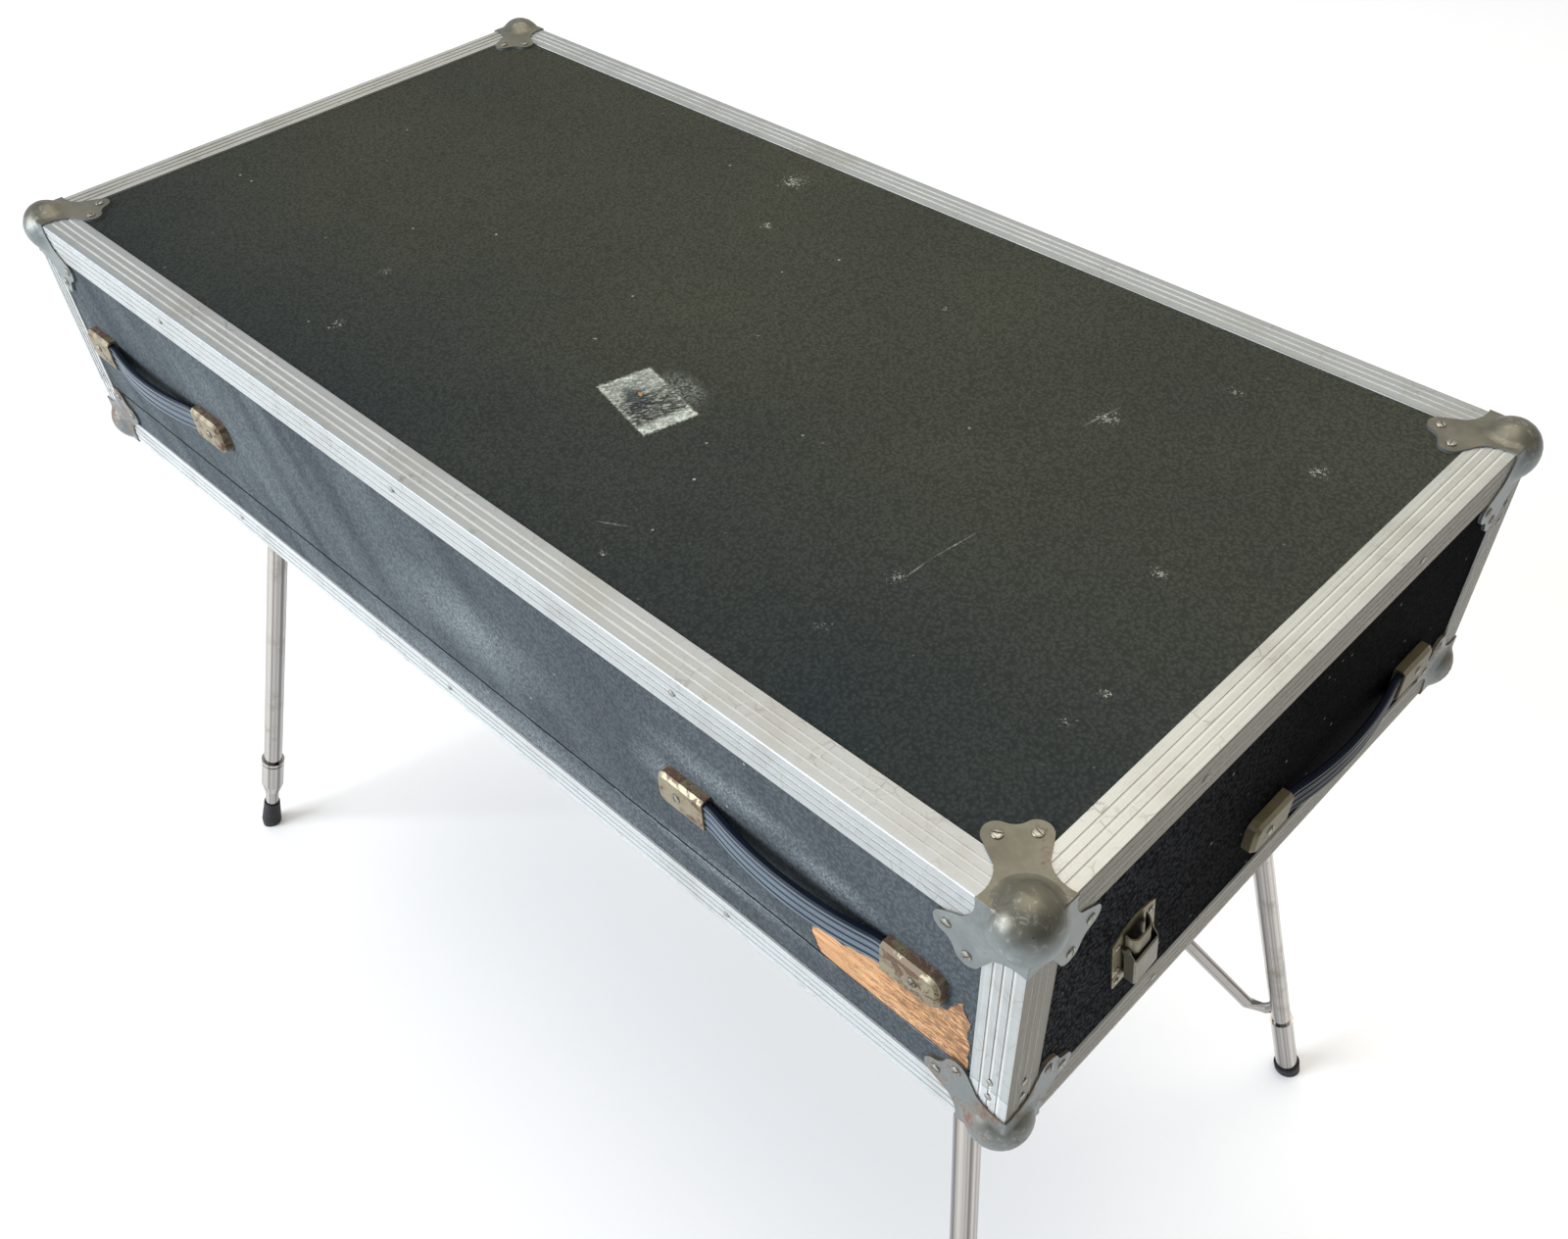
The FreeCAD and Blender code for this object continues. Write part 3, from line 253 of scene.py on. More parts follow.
def leathercloth():
    """Black leathercloth, PVC on cotton rolled with a leather grain: a low sheen painted into its tone,
    pebbled grain with painted light on its crests and painted shade in its hollows, a film of dust on the
    front, hairline scratches and pale scuffs on the top."""
    material, tree, place, facing = new_finish("leathercloth_pvc_grained")
    top = put(tree, "MapRange", {"Value": put(tree, "SeparateXYZ", {0: facing}, out=2),
                                 "From Min": 0.5, "From Max": 0.9})
    front = put(tree, "MapRange", {"Value": put(tree, "SeparateXYZ", {0: facing}, out=1),
                                   "From Min": -0.5, "From Max": -0.9})
    # The real grain is about 2 mm; drawn at 2.8 mm so that it shows
    wander = put(tree, "TexNoise", {"Vector": place, "Scale": 1 / (9 * mm), "Detail": 2}, out="Color")
    bent = put(tree, "MixRGB", {"Fac": 6 * mm, "Color1": place, "Color2": wander}, blend_type="ADD")
    pebbles = put(tree, "TexVoronoi", {"Vector": bent, "Scale": 1 / (2.8 * mm), "Smoothness": 0.35},
                  feature="SMOOTH_F1")
    pores = put(tree, "TexNoise", {"Vector": place, "Scale": 1 / (1.6 * mm), "Detail": 3})
    grain = put(tree, "Math", {0: pores, 1: 0.5, 2: pebbles}, operation="MULTIPLY_ADD")
    # Tone: greenish black above, paler and warmer towards the back as a painted sheen; grey with dust in
    # front; black at the ends, with painted light towards the front and painted shade towards the back
    cloud = put(tree, "TexNoise", {"Vector": place, "Scale": 1 / (260 * mm), "Detail": 4, "Roughness": 0.55})
    depth = put(tree, "SeparateXYZ", {0: place}, out=1)
    # Painted sheen: the top grows paler and warmer from the front to the middle, over a random mottle
    mottle_and_painted_sheen = put(tree, "MapRange", {"Value": depth, "From Min": front_y, "From Max": middle_y,
                                   "To Min": -0.4, "To Max": 0.3})
    mottle_and_painted_sheen = put(tree, "Math", {0: cloud, 1: mottle_and_painted_sheen}, operation="ADD", use_clamp=True)
    top_tone = put(tree, "MixRGB", {"Fac": mottle_and_painted_sheen, "Color1": linear("#2a3032"), "Color2": linear("#3f4037")})
    left = put(tree, "MapRange", {"Value": put(tree, "SeparateXYZ", {0: place}, out=0), "From Min": 250 * mm,
                                  "From Max": -150 * mm, "To Min": 0.3, "To Max": 1})
    front_tone = dust_and_sheen_front(tree, place, pores, left)
    # Painted shade: the hollows of the grain are darker on the ends
    hollow = put(tree, "MapRange", {"Value": pebbles, "From Min": 0.15, "From Max": 0.7})
    end_tone = put(tree, "MixRGB", {"Fac": hollow, "Color1": linear("#222325"), "Color2": linear("#080809")})
    # Painted light on the ends towards the front and painted shade towards the back; faces turned to the back
    # are lighter still
    painted_end_light = put(tree, "MapRange", {"Value": depth, "From Min": front_y, "From Max": middle_y,
                                      "To Min": 3.6, "To Max": 0.5})
    rear = put(tree, "MapRange", {"Value": put(tree, "SeparateXYZ", {0: facing}, out=1),
                                  "From Min": 0.5, "From Max": 0.9, "To Max": 2.8})
    painted_end_light = put(tree, "Math", {0: painted_end_light, 1: rear}, operation="ADD")
    end_tone = put(tree, "MixRGB", {"Fac": 1.0, "Color1": end_tone, "Color2": painted_end_light},
                   blend_type="MULTIPLY")
    tone = put(tree, "MixRGB", {"Fac": top, "Color1": end_tone, "Color2": top_tone})
    tone = put(tree, "MixRGB", {"Fac": front, "Color1": tone, "Color2": front_tone})
    # Painted light on the crests of the grain and painted shade in its hollows
    painted_crest_light = put(tree, "MapRange", {"Value": hollow, "To Min": 1.22, "To Max": 0.76})
    tone = put(tree, "MixRGB", {"Fac": 1.0, "Color1": tone, "Color2": painted_crest_light}, blend_type="MULTIPLY")
    tone = seam_shade_and_wear(tree, place, front, left, tone)
    marks = pale_marks(tree, place)
    cover, hole, bare = glue_film(tree, place)
    tone = put(tree, "MixRGB", {"Fac": marks, "Color1": tone, "Color2": linear("#a6a89c")})
    for glue, colour in ((hole, "#262a2e"), (cover, "#c3cac0"), (bare, "#9c7345")):
        glue = put(tree, "Math", {0: glue, 1: top}, operation="MULTIPLY")
        tone = put(tree, "MixRGB", {"Fac": glue, "Color1": tone, "Color2": linear(colour)})
    rough = put(tree, "MapRange", {"Value": cloud, "From Min": 0.3, "From Max": 0.7,
                                   "To Min": 0.58, "To Max": 0.7})
    rough = put(tree, "Math", {0: marks, 1: 0.25, 2: rough}, operation="MULTIPLY_ADD")
    bump = put(tree, "Bump", {"Height": grain, "Strength": 0.6, "Distance": 0.9 * mm}, invert=True)
    # Hardly any gloss, or the ends would mirror the pale floor at a low angle
    close_finish(tree, {"Base Color": tone, "Roughness": rough, "Normal": bump, "Specular IOR Level": 0.003})
    return material


def below_faces(tree, place):
    """How far a point lies inside the nearer end, long side and level face of the case, as a vector."""
    middle = (0, middle_y, (bottom_z + top_z) / 2)
    reach = (half_length, half_width, (top_z - bottom_z) / 2)
    away = put(tree, "VectorMath", {0: place, 1: middle}, operation="SUBTRACT")
    away = put(tree, "VectorMath", {0: away}, operation="ABSOLUTE")
    return put(tree, "VectorMath", {0: reach, 1: away}, operation="SUBTRACT")


def ribbed_aluminium(name, run, above, beside):
    """Extruded aluminium angle, mill finish gone dull: satin bands drawn out along the length, white oxide
    in the grooves, painted shade on the faces turned to the case's ends, grey handling marks and dark
    scratches across the ribs.
    Its tones are given for what faces up and for the sides, as lit and shaded copies: painted light and
    shade."""
    material, tree, place, facing = new_finish(name)
    stretch = [1 / (0.7 * mm)] * 3
    stretch[run] = 1 / (500 * mm)
    long_place = put(tree, "VectorMath", {0: place, 1: stretch}, operation="MULTIPLY")
    drawn = put(tree, "TexNoise", {"Vector": long_place, "Scale": 1, "Detail": 3})
    cloud = put(tree, "TexNoise", {"Vector": place, "Scale": 1 / (70 * mm), "Detail": 6, "Roughness": 0.65})
    nicks = put(tree, "TexVoronoi", {"Vector": place, "Scale": 1 / (11 * mm)}, feature="DISTANCE_TO_EDGE")
    nicks = put(tree, "MapRange", {"Value": nicks, "From Min": 0.06, "From Max": 0.015})
    broken = put(tree, "TexNoise", {"Vector": place, "Scale": 1 / (24 * mm), "Detail": 4, "Roughness": 0.6})
    broken = put(tree, "MapRange", {"Value": broken, "From Min": 0.50, "From Max": 0.72, "To Max": 0.55})
    nicks = put(tree, "Math", {0: nicks, 1: broken}, operation="MULTIPLY")
    upward = put(tree, "MapRange", {"Value": put(tree, "SeparateXYZ", {0: facing}, out=2),
                                    "From Min": 0.4, "From Max": 0.8})
    # Painted light and shade: faces turned up and to the sides get lit and shaded copies of one tone
    warm = put(tree, "MixRGB", {"Fac": drawn, "Color1": linear(above[0]), "Color2": linear(above[1])})
    cool = put(tree, "MixRGB", {"Fac": drawn, "Color1": linear(beside[0]), "Color2": linear(beside[1])})
    tone = put(tree, "MixRGB", {"Fac": upward, "Color1": cool, "Color2": warm})
    sideways = put(tree, "Math", {0: put(tree, "SeparateXYZ", {0: facing}, out=0)}, operation="ABSOLUTE")
    # Painted shade: faces turned to the case's ends are darker and warmer
    painted_end_shade = put(tree, "MapRange", {"Value": sideways, "From Min": 0.5, "From Max": 0.8, "To Max": 0.92})
    tone = put(tree, "MixRGB", {"Fac": painted_end_shade, "Color1": tone, "Color2": linear("#666053")})
    dirt = put(tree, "MapRange", {"Value": cloud, "From Min": 0.50, "From Max": 0.75, "To Max": 0.55})
    tone = put(tree, "MixRGB", {"Fac": dirt, "Color1": tone, "Color2": linear("#928d82")})
    tone = put(tree, "MixRGB", {"Fac": nicks, "Color1": tone, "Color2": linear("#6f6b64")})
    # A groove is where the surface lies just below one face of the case, well away from the ridge
    below = below_faces(tree, place)
    across = [put(tree, "SeparateXYZ", {0: below}, out=k) for k in range(3) if k != run]
    nearest = put(tree, "Math", {0: across[0], 1: across[1]}, operation="MINIMUM")
    other = put(tree, "Math", {0: across[0], 1: across[1]}, operation="MAXIMUM")
    sunk = put(tree, "MapRange", {"Value": nearest, "From Min": 0.1 * mm, "From Max": 0.5 * mm})
    off_ridge = put(tree, "MapRange", {"Value": other, "From Min": 3 * mm, "From Max": 4 * mm})
    groove = put(tree, "Math", {0: sunk, 1: off_ridge}, operation="MULTIPLY")
    chalky = put(tree, "MapRange", {"Value": cloud, "From Min": 0.3, "From Max": 0.7,
                                    "To Min": 0.62, "To Max": 0.3})
    oxide = put(tree, "Math", {0: groove, 1: chalky}, operation="MULTIPLY")
    tone = put(tree, "MixRGB", {"Fac": oxide, "Color1": tone, "Color2": linear("#e6e4dc")})
    metal = put(tree, "MapRange", {"Value": oxide, "To Min": 0.85, "To Max": 0.0})
    rough = put(tree, "MapRange", {"Value": drawn, "From Min": 0.3, "From Max": 0.7,
                                   "To Min": 0.38, "To Max": 0.55})
    rough = put(tree, "Math", {0: oxide, 1: 0.4, 2: rough}, operation="MULTIPLY_ADD")
    height = put(tree, "Math", {0: nicks, 1: -1.5, 2: drawn}, operation="MULTIPLY_ADD")
    bump = put(tree, "Bump", {"Height": height, "Strength": 0.18, "Distance": 0.3 * mm})
    close_finish(tree, {"Base Color": tone, "Roughness": rough, "Normal": bump, "Metallic": metal})
    return material


def zinc_pressing(name, rust_low, rust_high):
    """Zinc-plated steel pressing, dulled to an olive grey: soft highlights on the dome, painted paler and
    bluer at the sides as painted light, chalky scuffs where it was knocked and rust creeping through below."""
    material, tree, place, facing = new_finish(name)
    cloud = put(tree, "TexNoise", {"Vector": place, "Scale": 1 / (24 * mm), "Detail": 6, "Roughness": 0.65})
    fine = put(tree, "TexNoise", {"Vector": place, "Scale": 1 / (2.5 * mm), "Detail": 4})
    mottled = put(tree, "MapRange", {"Value": cloud, "From Min": 0.3, "From Max": 0.7})
    olive = put(tree, "MixRGB", {"Fac": mottled, "Color1": linear("#545247"), "Color2": linear("#6f6d60")})
    # Painted light: faces turned to the side are paler and bluer than those turned up
    pale = put(tree, "MixRGB", {"Fac": mottled, "Color1": linear("#646b6c"), "Color2": linear("#868d8c")})
    upward = put(tree, "MapRange", {"Value": put(tree, "SeparateXYZ", {0: facing}, out=2),
                                    "From Min": 0.1, "From Max": 0.7})
    tone = put(tree, "MixRGB", {"Fac": upward, "Color1": pale, "Color2": olive})
    knocks = put(tree, "TexNoise", {"Vector": place, "Scale": 1 / (6 * mm), "Detail": 7, "Roughness": 0.72,
                                    "Distortion": 0.6})
    knocks = put(tree, "MapRange", {"Value": knocks, "From Min": 0.54, "From Max": 0.82, "To Max": 0.55})
    # Knocks lie on the domes and hardly on the leaves
    far = put(tree, "VectorMath", {0: below_faces(tree, place)}, out="Value", operation="LENGTH")
    dome = put(tree, "MapRange", {"Value": far, "From Min": 40 * mm, "From Max": 26 * mm, "To Min": 0.12})
    knocks = put(tree, "Math", {0: knocks, 1: dome}, operation="MULTIPLY")
    tone = put(tree, "MixRGB", {"Fac": knocks, "Color1": tone, "Color2": linear("#c9ccc5")})
    spots = put(tree, "Math", {0: fine, 1: 0.35, 2: cloud}, operation="MULTIPLY_ADD")
    rust = put(tree, "MapRange", {"Value": spots, "From Min": rust_low, "From Max": rust_high})
    tone = put(tree, "MixRGB", {"Fac": rust, "Color1": tone, "Color2": linear("#6b5342")})
    metal = put(tree, "MapRange", {"Value": rust, "To Min": 0.65, "To Max": 0.1})
    rough = put(tree, "MapRange", {"Value": cloud, "From Min": 0.3, "From Max": 0.7,
                                   "To Min": 0.34, "To Max": 0.48})
    coarse = put(tree, "Math", {0: rust, 1: knocks}, operation="MAXIMUM")
    rough = put(tree, "Math", {0: coarse, 1: 0.3, 2: rough}, operation="MULTIPLY_ADD")
    bump = put(tree, "Bump", {"Height": fine, "Strength": 0.12, "Distance": 0.3 * mm})
    close_finish(tree, {"Base Color": tone, "Roughness": rough, "Normal": bump, "Metallic": metal})
    return material


def brassed_steel(name, dark, light, start):
    """Brass-plated steel caps: dull olive brass with a painted highlight along the folds, flaking away from
    red-brown rust in islands with sharp edges. A lower start gives more rust."""
    material, tree, place, facing = new_finish(name)
    patch = put(tree, "TexNoise", {"Vector": place, "Scale": 1 / (11 * mm), "Detail": 7, "Roughness": 0.7,
                                   "Distortion": 0.7})
    pits = put(tree, "TexNoise", {"Vector": place, "Scale": 1 / (2 * mm), "Detail": 4})
    upward = put(tree, "SeparateXYZ", {0: facing}, out=2)
    each = put(tree, "TexNoise", {"Vector": place, "Scale": 1 / (150 * mm), "Detail": 0})
    spread = put(tree, "Math", {0: upward, 1: 0.03, 2: patch}, operation="MULTIPLY_ADD")
    spread = put(tree, "Math", {0: each, 1: 0.2, 2: spread}, operation="MULTIPLY_ADD")
    rust = put(tree, "MapRange", {"Value": spread, "From Min": start, "From Max": start + 0.03})
    stain = put(tree, "MapRange", {"Value": spread, "From Min": start - 0.13, "From Max": start + 0.02,
                                   "To Max": 0.7})
    tone = put(tree, "MixRGB", {"Fac": patch, "Color1": linear(dark), "Color2": linear(light)})
    tone = put(tree, "MixRGB", {"Fac": stain, "Color1": tone, "Color2": linear("#6b5a46")})
    brown = put(tree, "MixRGB", {"Fac": pits, "Color1": linear("#3d2a1d"), "Color2": linear("#6d5341")})
    tone = put(tree, "MixRGB", {"Fac": rust, "Color1": tone, "Color2": brown})
    # Painted highlight: a pale band where the cap's face turns upward, short of the very top
    painted_fold_highlight = put(tree, "MapRange", {"Value": put(tree, "Math", {0: upward, 1: 0.7}, operation="SUBTRACT"),
                                  "From Min": -0.2, "From Max": -0.05, "To Max": 0.3})
    off_top = put(tree, "MapRange", {"Value": upward, "From Min": 0.9, "From Max": 0.75})
    painted_fold_highlight = put(tree, "Math", {0: painted_fold_highlight, 1: off_top}, operation="MULTIPLY")
    tone = put(tree, "MixRGB", {"Fac": painted_fold_highlight, "Color1": tone, "Color2": linear("#bdb399")})
    metal = put(tree, "MapRange", {"Value": rust, "To Min": 0.6, "To Max": 0.05})
    rough = put(tree, "MapRange", {"Value": rust, "To Min": 0.46, "To Max": 0.76})
    height = put(tree, "Math", {0: rust, 1: -1.2, 2: pits}, operation="MULTIPLY_ADD")
    bump = put(tree, "Bump", {"Height": height, "Strength": 0.35, "Distance": 0.5 * mm})
    close_finish(tree, {"Base Color": tone, "Roughness": rough, "Normal": bump, "Metallic": metal})
    return material


def strap_vinyl():
    """Moulded PVC strap, blue-black: a satin skin with fine ribs the whole length; the broad face turned to
    the front is painted grey as light, with painted highlights on the rib crests."""
    material, tree, place, facing = new_finish("strap_pvc_moulded")
    up = put(tree, "SeparateXYZ", {0: place}, out=2)
    rib = put(tree, "Math", {0: up, 1: 2 * math.pi / (2.7 * mm)}, operation="MULTIPLY")
    rib = put(tree, "Math", {0: rib}, operation="SINE")
    cloud = put(tree, "TexNoise", {"Vector": place, "Scale": 1 / (30 * mm), "Detail": 4})
    level = put(tree, "Math", {0: put(tree, "SeparateXYZ", {0: facing}, out=2)}, operation="ABSOLUTE")
    flat = put(tree, "MapRange", {"Value": level, "From Min": 0.55, "From Max": 0.2})
    # Painted light and shade: faces turned up and down are painted dark as shade, the broad face turned to
    # the front grey as light
    edge = put(tree, "MixRGB", {"Fac": cloud, "Color1": linear("#030a14"), "Color2": linear("#0c1a2b")})
    face = put(tree, "MixRGB", {"Fac": cloud, "Color1": linear("#434f59"), "Color2": linear("#616e78")})
    painted_crest_light = put(tree, "MapRange", {"Value": rib, "From Min": 0.3, "From Max": 1, "To Max": 0.36})
    face = put(tree, "MixRGB", {"Fac": painted_crest_light, "Color1": face, "Color2": linear("#8c979f")})
    painted_front_light = put(tree, "MapRange", {"Value": put(tree, "SeparateXYZ", {0: facing}, out=1),
                                   "From Min": -0.3, "From Max": -0.7})
    # Faces not turned to the front keep the dark tone, with faint painted highlights on the crests
    clean = put(tree, "MixRGB", {"Fac": painted_crest_light, "Color1": edge, "Color2": linear("#1f262e")})
    face = put(tree, "MixRGB", {"Fac": painted_front_light, "Color1": clean, "Color2": face})
    tone = put(tree, "MixRGB", {"Fac": flat, "Color1": edge, "Color2": face})
    rough = put(tree, "MapRange", {"Value": cloud, "From Min": 0.3, "From Max": 0.7,
                                   "To Min": 0.34, "To Max": 0.48})
    bump = put(tree, "Bump", {"Height": put(tree, "Math", {0: rib, 1: flat}, operation="MULTIPLY"),
                              "Strength": 0.35, "Distance": 0.5 * mm})
    close_finish(tree, {"Base Color": tone, "Roughness": rough, "Normal": bump, "Specular IOR Level": 0.14})
    return material


def plated_metal(name, dark, light, low_rough, high_rough, tarnish, spread):
    """Nickel or chrome plate on steel, polished and then worn: painted reflections in bands set by the way
    each side faces, cloudy bloom, a finely roughened skin and a warm tarnish in patches of the given spread."""
    material, tree, place, facing = new_finish(name)
    cloud = put(tree, "TexNoise", {"Vector": place, "Scale": 1 / (spread * mm), "Detail": 5,
                                   "Roughness": 0.6})
    fine = put(tree, "TexNoise", {"Vector": place, "Scale": 1 / (1.5 * mm), "Detail": 3})
    # Painted reflections: faces turned the same way get the same tone, from a noise over their normal
    painted_reflections = put(tree, "TexNoise", {"Vector": facing, "Scale": 2.6, "Detail": 3, "Roughness": 0.6})
    painted_reflections = put(tree, "MapRange", {"Value": painted_reflections, "From Min": 0.36, "From Max": 0.64})
    tone = put(tree, "MixRGB", {"Fac": painted_reflections, "Color1": linear(dark), "Color2": linear(light)})
    spots = put(tree, "Math", {0: fine, 1: 0.3, 2: cloud}, operation="MULTIPLY_ADD")
    worn = put(tree, "MapRange", {"Value": spots, "From Min": 0.68, "From Max": 0.84, "To Max": 0.7})
    tone = put(tree, "MixRGB", {"Fac": worn, "Color1": tone, "Color2": linear(tarnish)})
    rough = put(tree, "MapRange", {"Value": spots, "From Min": 0.45, "From Max": 0.85,
                                   "To Min": low_rough, "To Max": high_rough})
    bump = put(tree, "Bump", {"Height": fine, "Strength": 0.05, "Distance": 0.2 * mm})
    close_finish(tree, {"Base Color": tone, "Roughness": rough, "Normal": bump, "Metallic": 1.0})
    return material


def birch_plywood(name, grain_run, thickness_run):
    """Bare birch plywood: pale long grain on the faces and thin dark plies along the cut edges."""
    material, tree, place, facing = new_finish(name)
    stretch = [1 / (3 * mm)] * 3
    stretch[grain_run] = 1 / (120 * mm)
    long_grain = put(tree, "VectorMath", {0: place, 1: stretch}, operation="MULTIPLY")
    fibre = put(tree, "TexNoise", {"Vector": long_grain, "Scale": 1, "Detail": 5, "Distortion": 0.4})
    depth = put(tree, "SeparateXYZ", {0: place}, out=thickness_run)
    ply = put(tree, "Math", {0: depth, 1: 2 * math.pi / (2.6 * mm)}, operation="MULTIPLY")
    ply = put(tree, "Math", {0: ply}, operation="SINE")
    ply = put(tree, "MapRange", {"Value": ply, "From Min": -0.2, "From Max": 0.4, "To Max": 0.75})
    face = put(tree, "SeparateXYZ", {0: facing}, out=thickness_run)
    face = put(tree, "Math", {0: face}, operation="ABSOLUTE")
    cut_edge = put(tree, "MapRange", {"Value": face, "From Min": 0.6, "From Max": 0.4})
    tone = put(tree, "MixRGB", {"Fac": fibre, "Color1": linear("#a37a4c"), "Color2": linear("#d3b183")})
    tone = put(tree, "MixRGB", {"Fac": put(tree, "Math", {0: ply, 1: cut_edge}, operation="MULTIPLY"),
                                "Color1": tone, "Color2": linear("#6f4b2b")})
    bump = put(tree, "Bump", {"Height": fibre, "Strength": 0.2, "Distance": 0.3 * mm})
    close_finish(tree, {"Base Color": tone, "Roughness": 0.62, "Normal": bump})
    return material


def torn_veneer():
    """Birch face ply laid bare by the tear: tan, with long darker fibres and torn-out flecks, cleaner to
    the left."""
    material, tree, place, _ = new_finish("birch_face_ply_torn")
    long_grain = put(tree, "VectorMath", {0: place, 1: (1 / (45 * mm), 1, 1 / (1.8 * mm))},
                     operation="MULTIPLY")
    fibre = put(tree, "TexNoise", {"Vector": long_grain, "Scale": 1, "Detail": 6, "Roughness": 0.65})
    fleck = put(tree, "VectorMath", {0: place, 1: (1 / (7 * mm), 1, 1 / (2.0 * mm))}, operation="MULTIPLY")
    fleck = put(tree, "TexNoise", {"Vector": fleck, "Scale": 1, "Detail": 5, "Roughness": 0.72})
    banded = put(tree, "MapRange", {"Value": fibre, "From Min": 0.36, "From Max": 0.64})
    tone = put(tree, "MixRGB", {"Fac": banded, "Color1": linear("#9c6c3d"), "Color2": linear("#d2a577")})
    along = put(tree, "SeparateXYZ", {0: place}, out=0)
    clean = put(tree, "MapRange", {"Value": along, "From Min": 560 * mm, "From Max": 435 * mm,
                                   "To Min": -0.05, "To Max": 0.12})
    dark = put(tree, "MapRange", {"Value": put(tree, "Math", {0: fleck, 1: clean}, operation="SUBTRACT"),
                                  "From Min": 0.48, "From Max": 0.56, "To Max": 0.75})
    tone = put(tree, "MixRGB", {"Fac": dark, "Color1": tone, "Color2": linear("#5c3d25")})
    height = put(tree, "Math", {0: dark, 1: -0.8, 2: fibre}, operation="MULTIPLY_ADD")
    bump = put(tree, "Bump", {"Height": height, "Strength": 0.6, "Distance": 0.6 * mm})
    close_finish(tree, {"Base Color": tone, "Roughness": 0.7, "Normal": bump})
    return material


def torn_edge():
    """Torn edge of the leathercloth: dark PVC broken through to pale cotton fibres."""
    material, tree, place, _ = new_finish("leathercloth_torn_edge")
    fray = put(tree, "TexNoise", {"Vector": place, "Scale": 1 / (3 * mm), "Detail": 5, "Roughness": 0.7})
    fray = put(tree, "MapRange", {"Value": fray, "From Min": 0.5, "From Max": 0.68})
    tone = put(tree, "MixRGB", {"Fac": fray, "Color1": linear("#33383b"), "Color2": linear("#8f8a7e")})
    bump = put(tree, "Bump", {"Height": fray, "Strength": 0.4, "Distance": 0.4 * mm})
    close_finish(tree, {"Base Color": tone, "Roughness": 0.8, "Normal": bump})
    return material


def black_rubber():
    """Moulded rubber tips: soft black with pale dust in the pores."""
    material, tree, place, _ = new_finish("rubber_moulded_black")
    cloud = put(tree, "TexNoise", {"Vector": place, "Scale": 1 / (10 * mm), "Detail": 6, "Roughness": 0.7})
    dust = put(tree, "MapRange", {"Value": cloud, "From Min": 0.5, "From Max": 0.8, "To Max": 0.5})
    tone = put(tree, "MixRGB", {"Fac": dust, "Color1": linear("#131418"), "Color2": linear("#3f4044")})
    bump = put(tree, "Bump", {"Height": cloud, "Strength": 0.2, "Distance": 0.4 * mm})
    close_finish(tree, {"Base Color": tone, "Roughness": 0.66, "Normal": bump})
    return material


def black_casting():
    """Sand-cast iron, painted black: a coarse skin with a dull sheen."""
    material, tree, place, _ = new_finish("cast_iron_black")
    skin = put(tree, "TexNoise", {"Vector": place, "Scale": 1 / (3 * mm), "Detail": 5, "Roughness": 0.7})
    tone = put(tree, "MixRGB", {"Fac": skin, "Color1": linear("#141416"), "Color2": linear("#37373a")})
    bump = put(tree, "Bump", {"Height": skin, "Strength": 0.4, "Distance": 0.5 * mm})
    close_finish(tree, {"Base Color": tone, "Roughness": 0.55, "Normal": bump, "Metallic": 0.3})
    return material


def pale_nylon():
    """Turned nylon ring: off-white and waxy, a little uneven."""
    material, tree, place, _ = new_finish("nylon_turned")
    cloud = put(tree, "TexNoise", {"Vector": place, "Scale": 1 / (6 * mm), "Detail": 4})
    tone = put(tree, "MixRGB", {"Fac": cloud, "Color1": linear("#bfb8a4"), "Color2": linear("#ddd7c6")})
    bump = put(tree, "Bump", {"Height": cloud, "Strength": 0.1, "Distance": 0.3 * mm})
    close_finish(tree, {"Base Color": tone, "Roughness": 0.45, "Normal": bump})
    return material


cloth = leathercloth()
zinc_lid = zinc_pressing("zinc_plated_steel_dull", 0.82, 0.95)
zinc_base = zinc_pressing("zinc_plated_steel_rusty", 0.64, 0.82)
zinc_hinge = zinc_pressing("zinc_plated_steel_hinge", 0.78, 0.92)
brass = brassed_steel("brass_plated_steel_rusted", "#79745f", "#a0987c", 0.645)
dark_brass = brassed_steel("brass_plated_steel_browned", "#4d4834", "#716a4d", 0.72)
vinyl = strap_vinyl()
nickel = plated_metal("nickel_plated_steel_worn", "#605f54", "#959385", 0.36, 0.54, "#7c6b48", 28)
brassed_plate = plated_metal("brass_plated_steel_worn", "#756e55", "#a0967a", 0.36, 0.54, "#5f4e34", 16)
screw_steel = plated_metal("steel_screw_turned", "#75726a", "#a5a297", 0.30, 0.50, "#4d3a2a", 34)
chrome = plated_metal("chrome_plated_tube", "#6d696a", "#c9c5c0", 0.10, 0.26, "#7d7568", 60)
rubber = black_rubber()
finishes = {
    "lid_covering": cloth, "base_covering": cloth,
    "lid_ball_corners": zinc_lid, "base_ball_corners": zinc_base,
    "front_strap_caps": brass, "side_strap_caps": dark_brass, "leg_sockets": black_casting(),
    "rear_leg_sleeves": chrome, "rear_feet": rubber, "brace_bolts": screw_steel,
}
for half in ("lid", "base"):
    for rail, run in (("long_edgings", 0), ("short_edgings", 1), ("corner_posts", 2)):
        # Tones for faces turned up and to the sides: painted light and shade, with the base's sides painted
        # lighter still
        above = ("#9fa19d", "#c1c3be") if run == 1 else ("#8e9192", "#acb0b0")
        beside = ("#a3a8a8", "#c5caca") if half == "lid" else ("#b5bbbd", "#d8dee0")
        node = half + "_" + rail
        finishes[node] = ribbed_aluminium("aluminium_extruded_" + node, run, above, beside)
    for board, grain_run, thickness_run in (("front", 0, 1), ("back", 0, 1), ("left", 1, 0), ("right", 1, 0)):
        node = half + "_" + board
        finishes[node + "_panel"] = birch_plywood("birch_plywood_" + node, grain_run, thickness_run)
finishes["lid_top_panel"] = birch_plywood("birch_plywood_top", 0, 2)
finishes["base_bottom_panel"] = birch_plywood("birch_plywood_bottom", 0, 2)
for name in ("latch_plates", "latch_keepers"):
    finishes[name] = brassed_plate
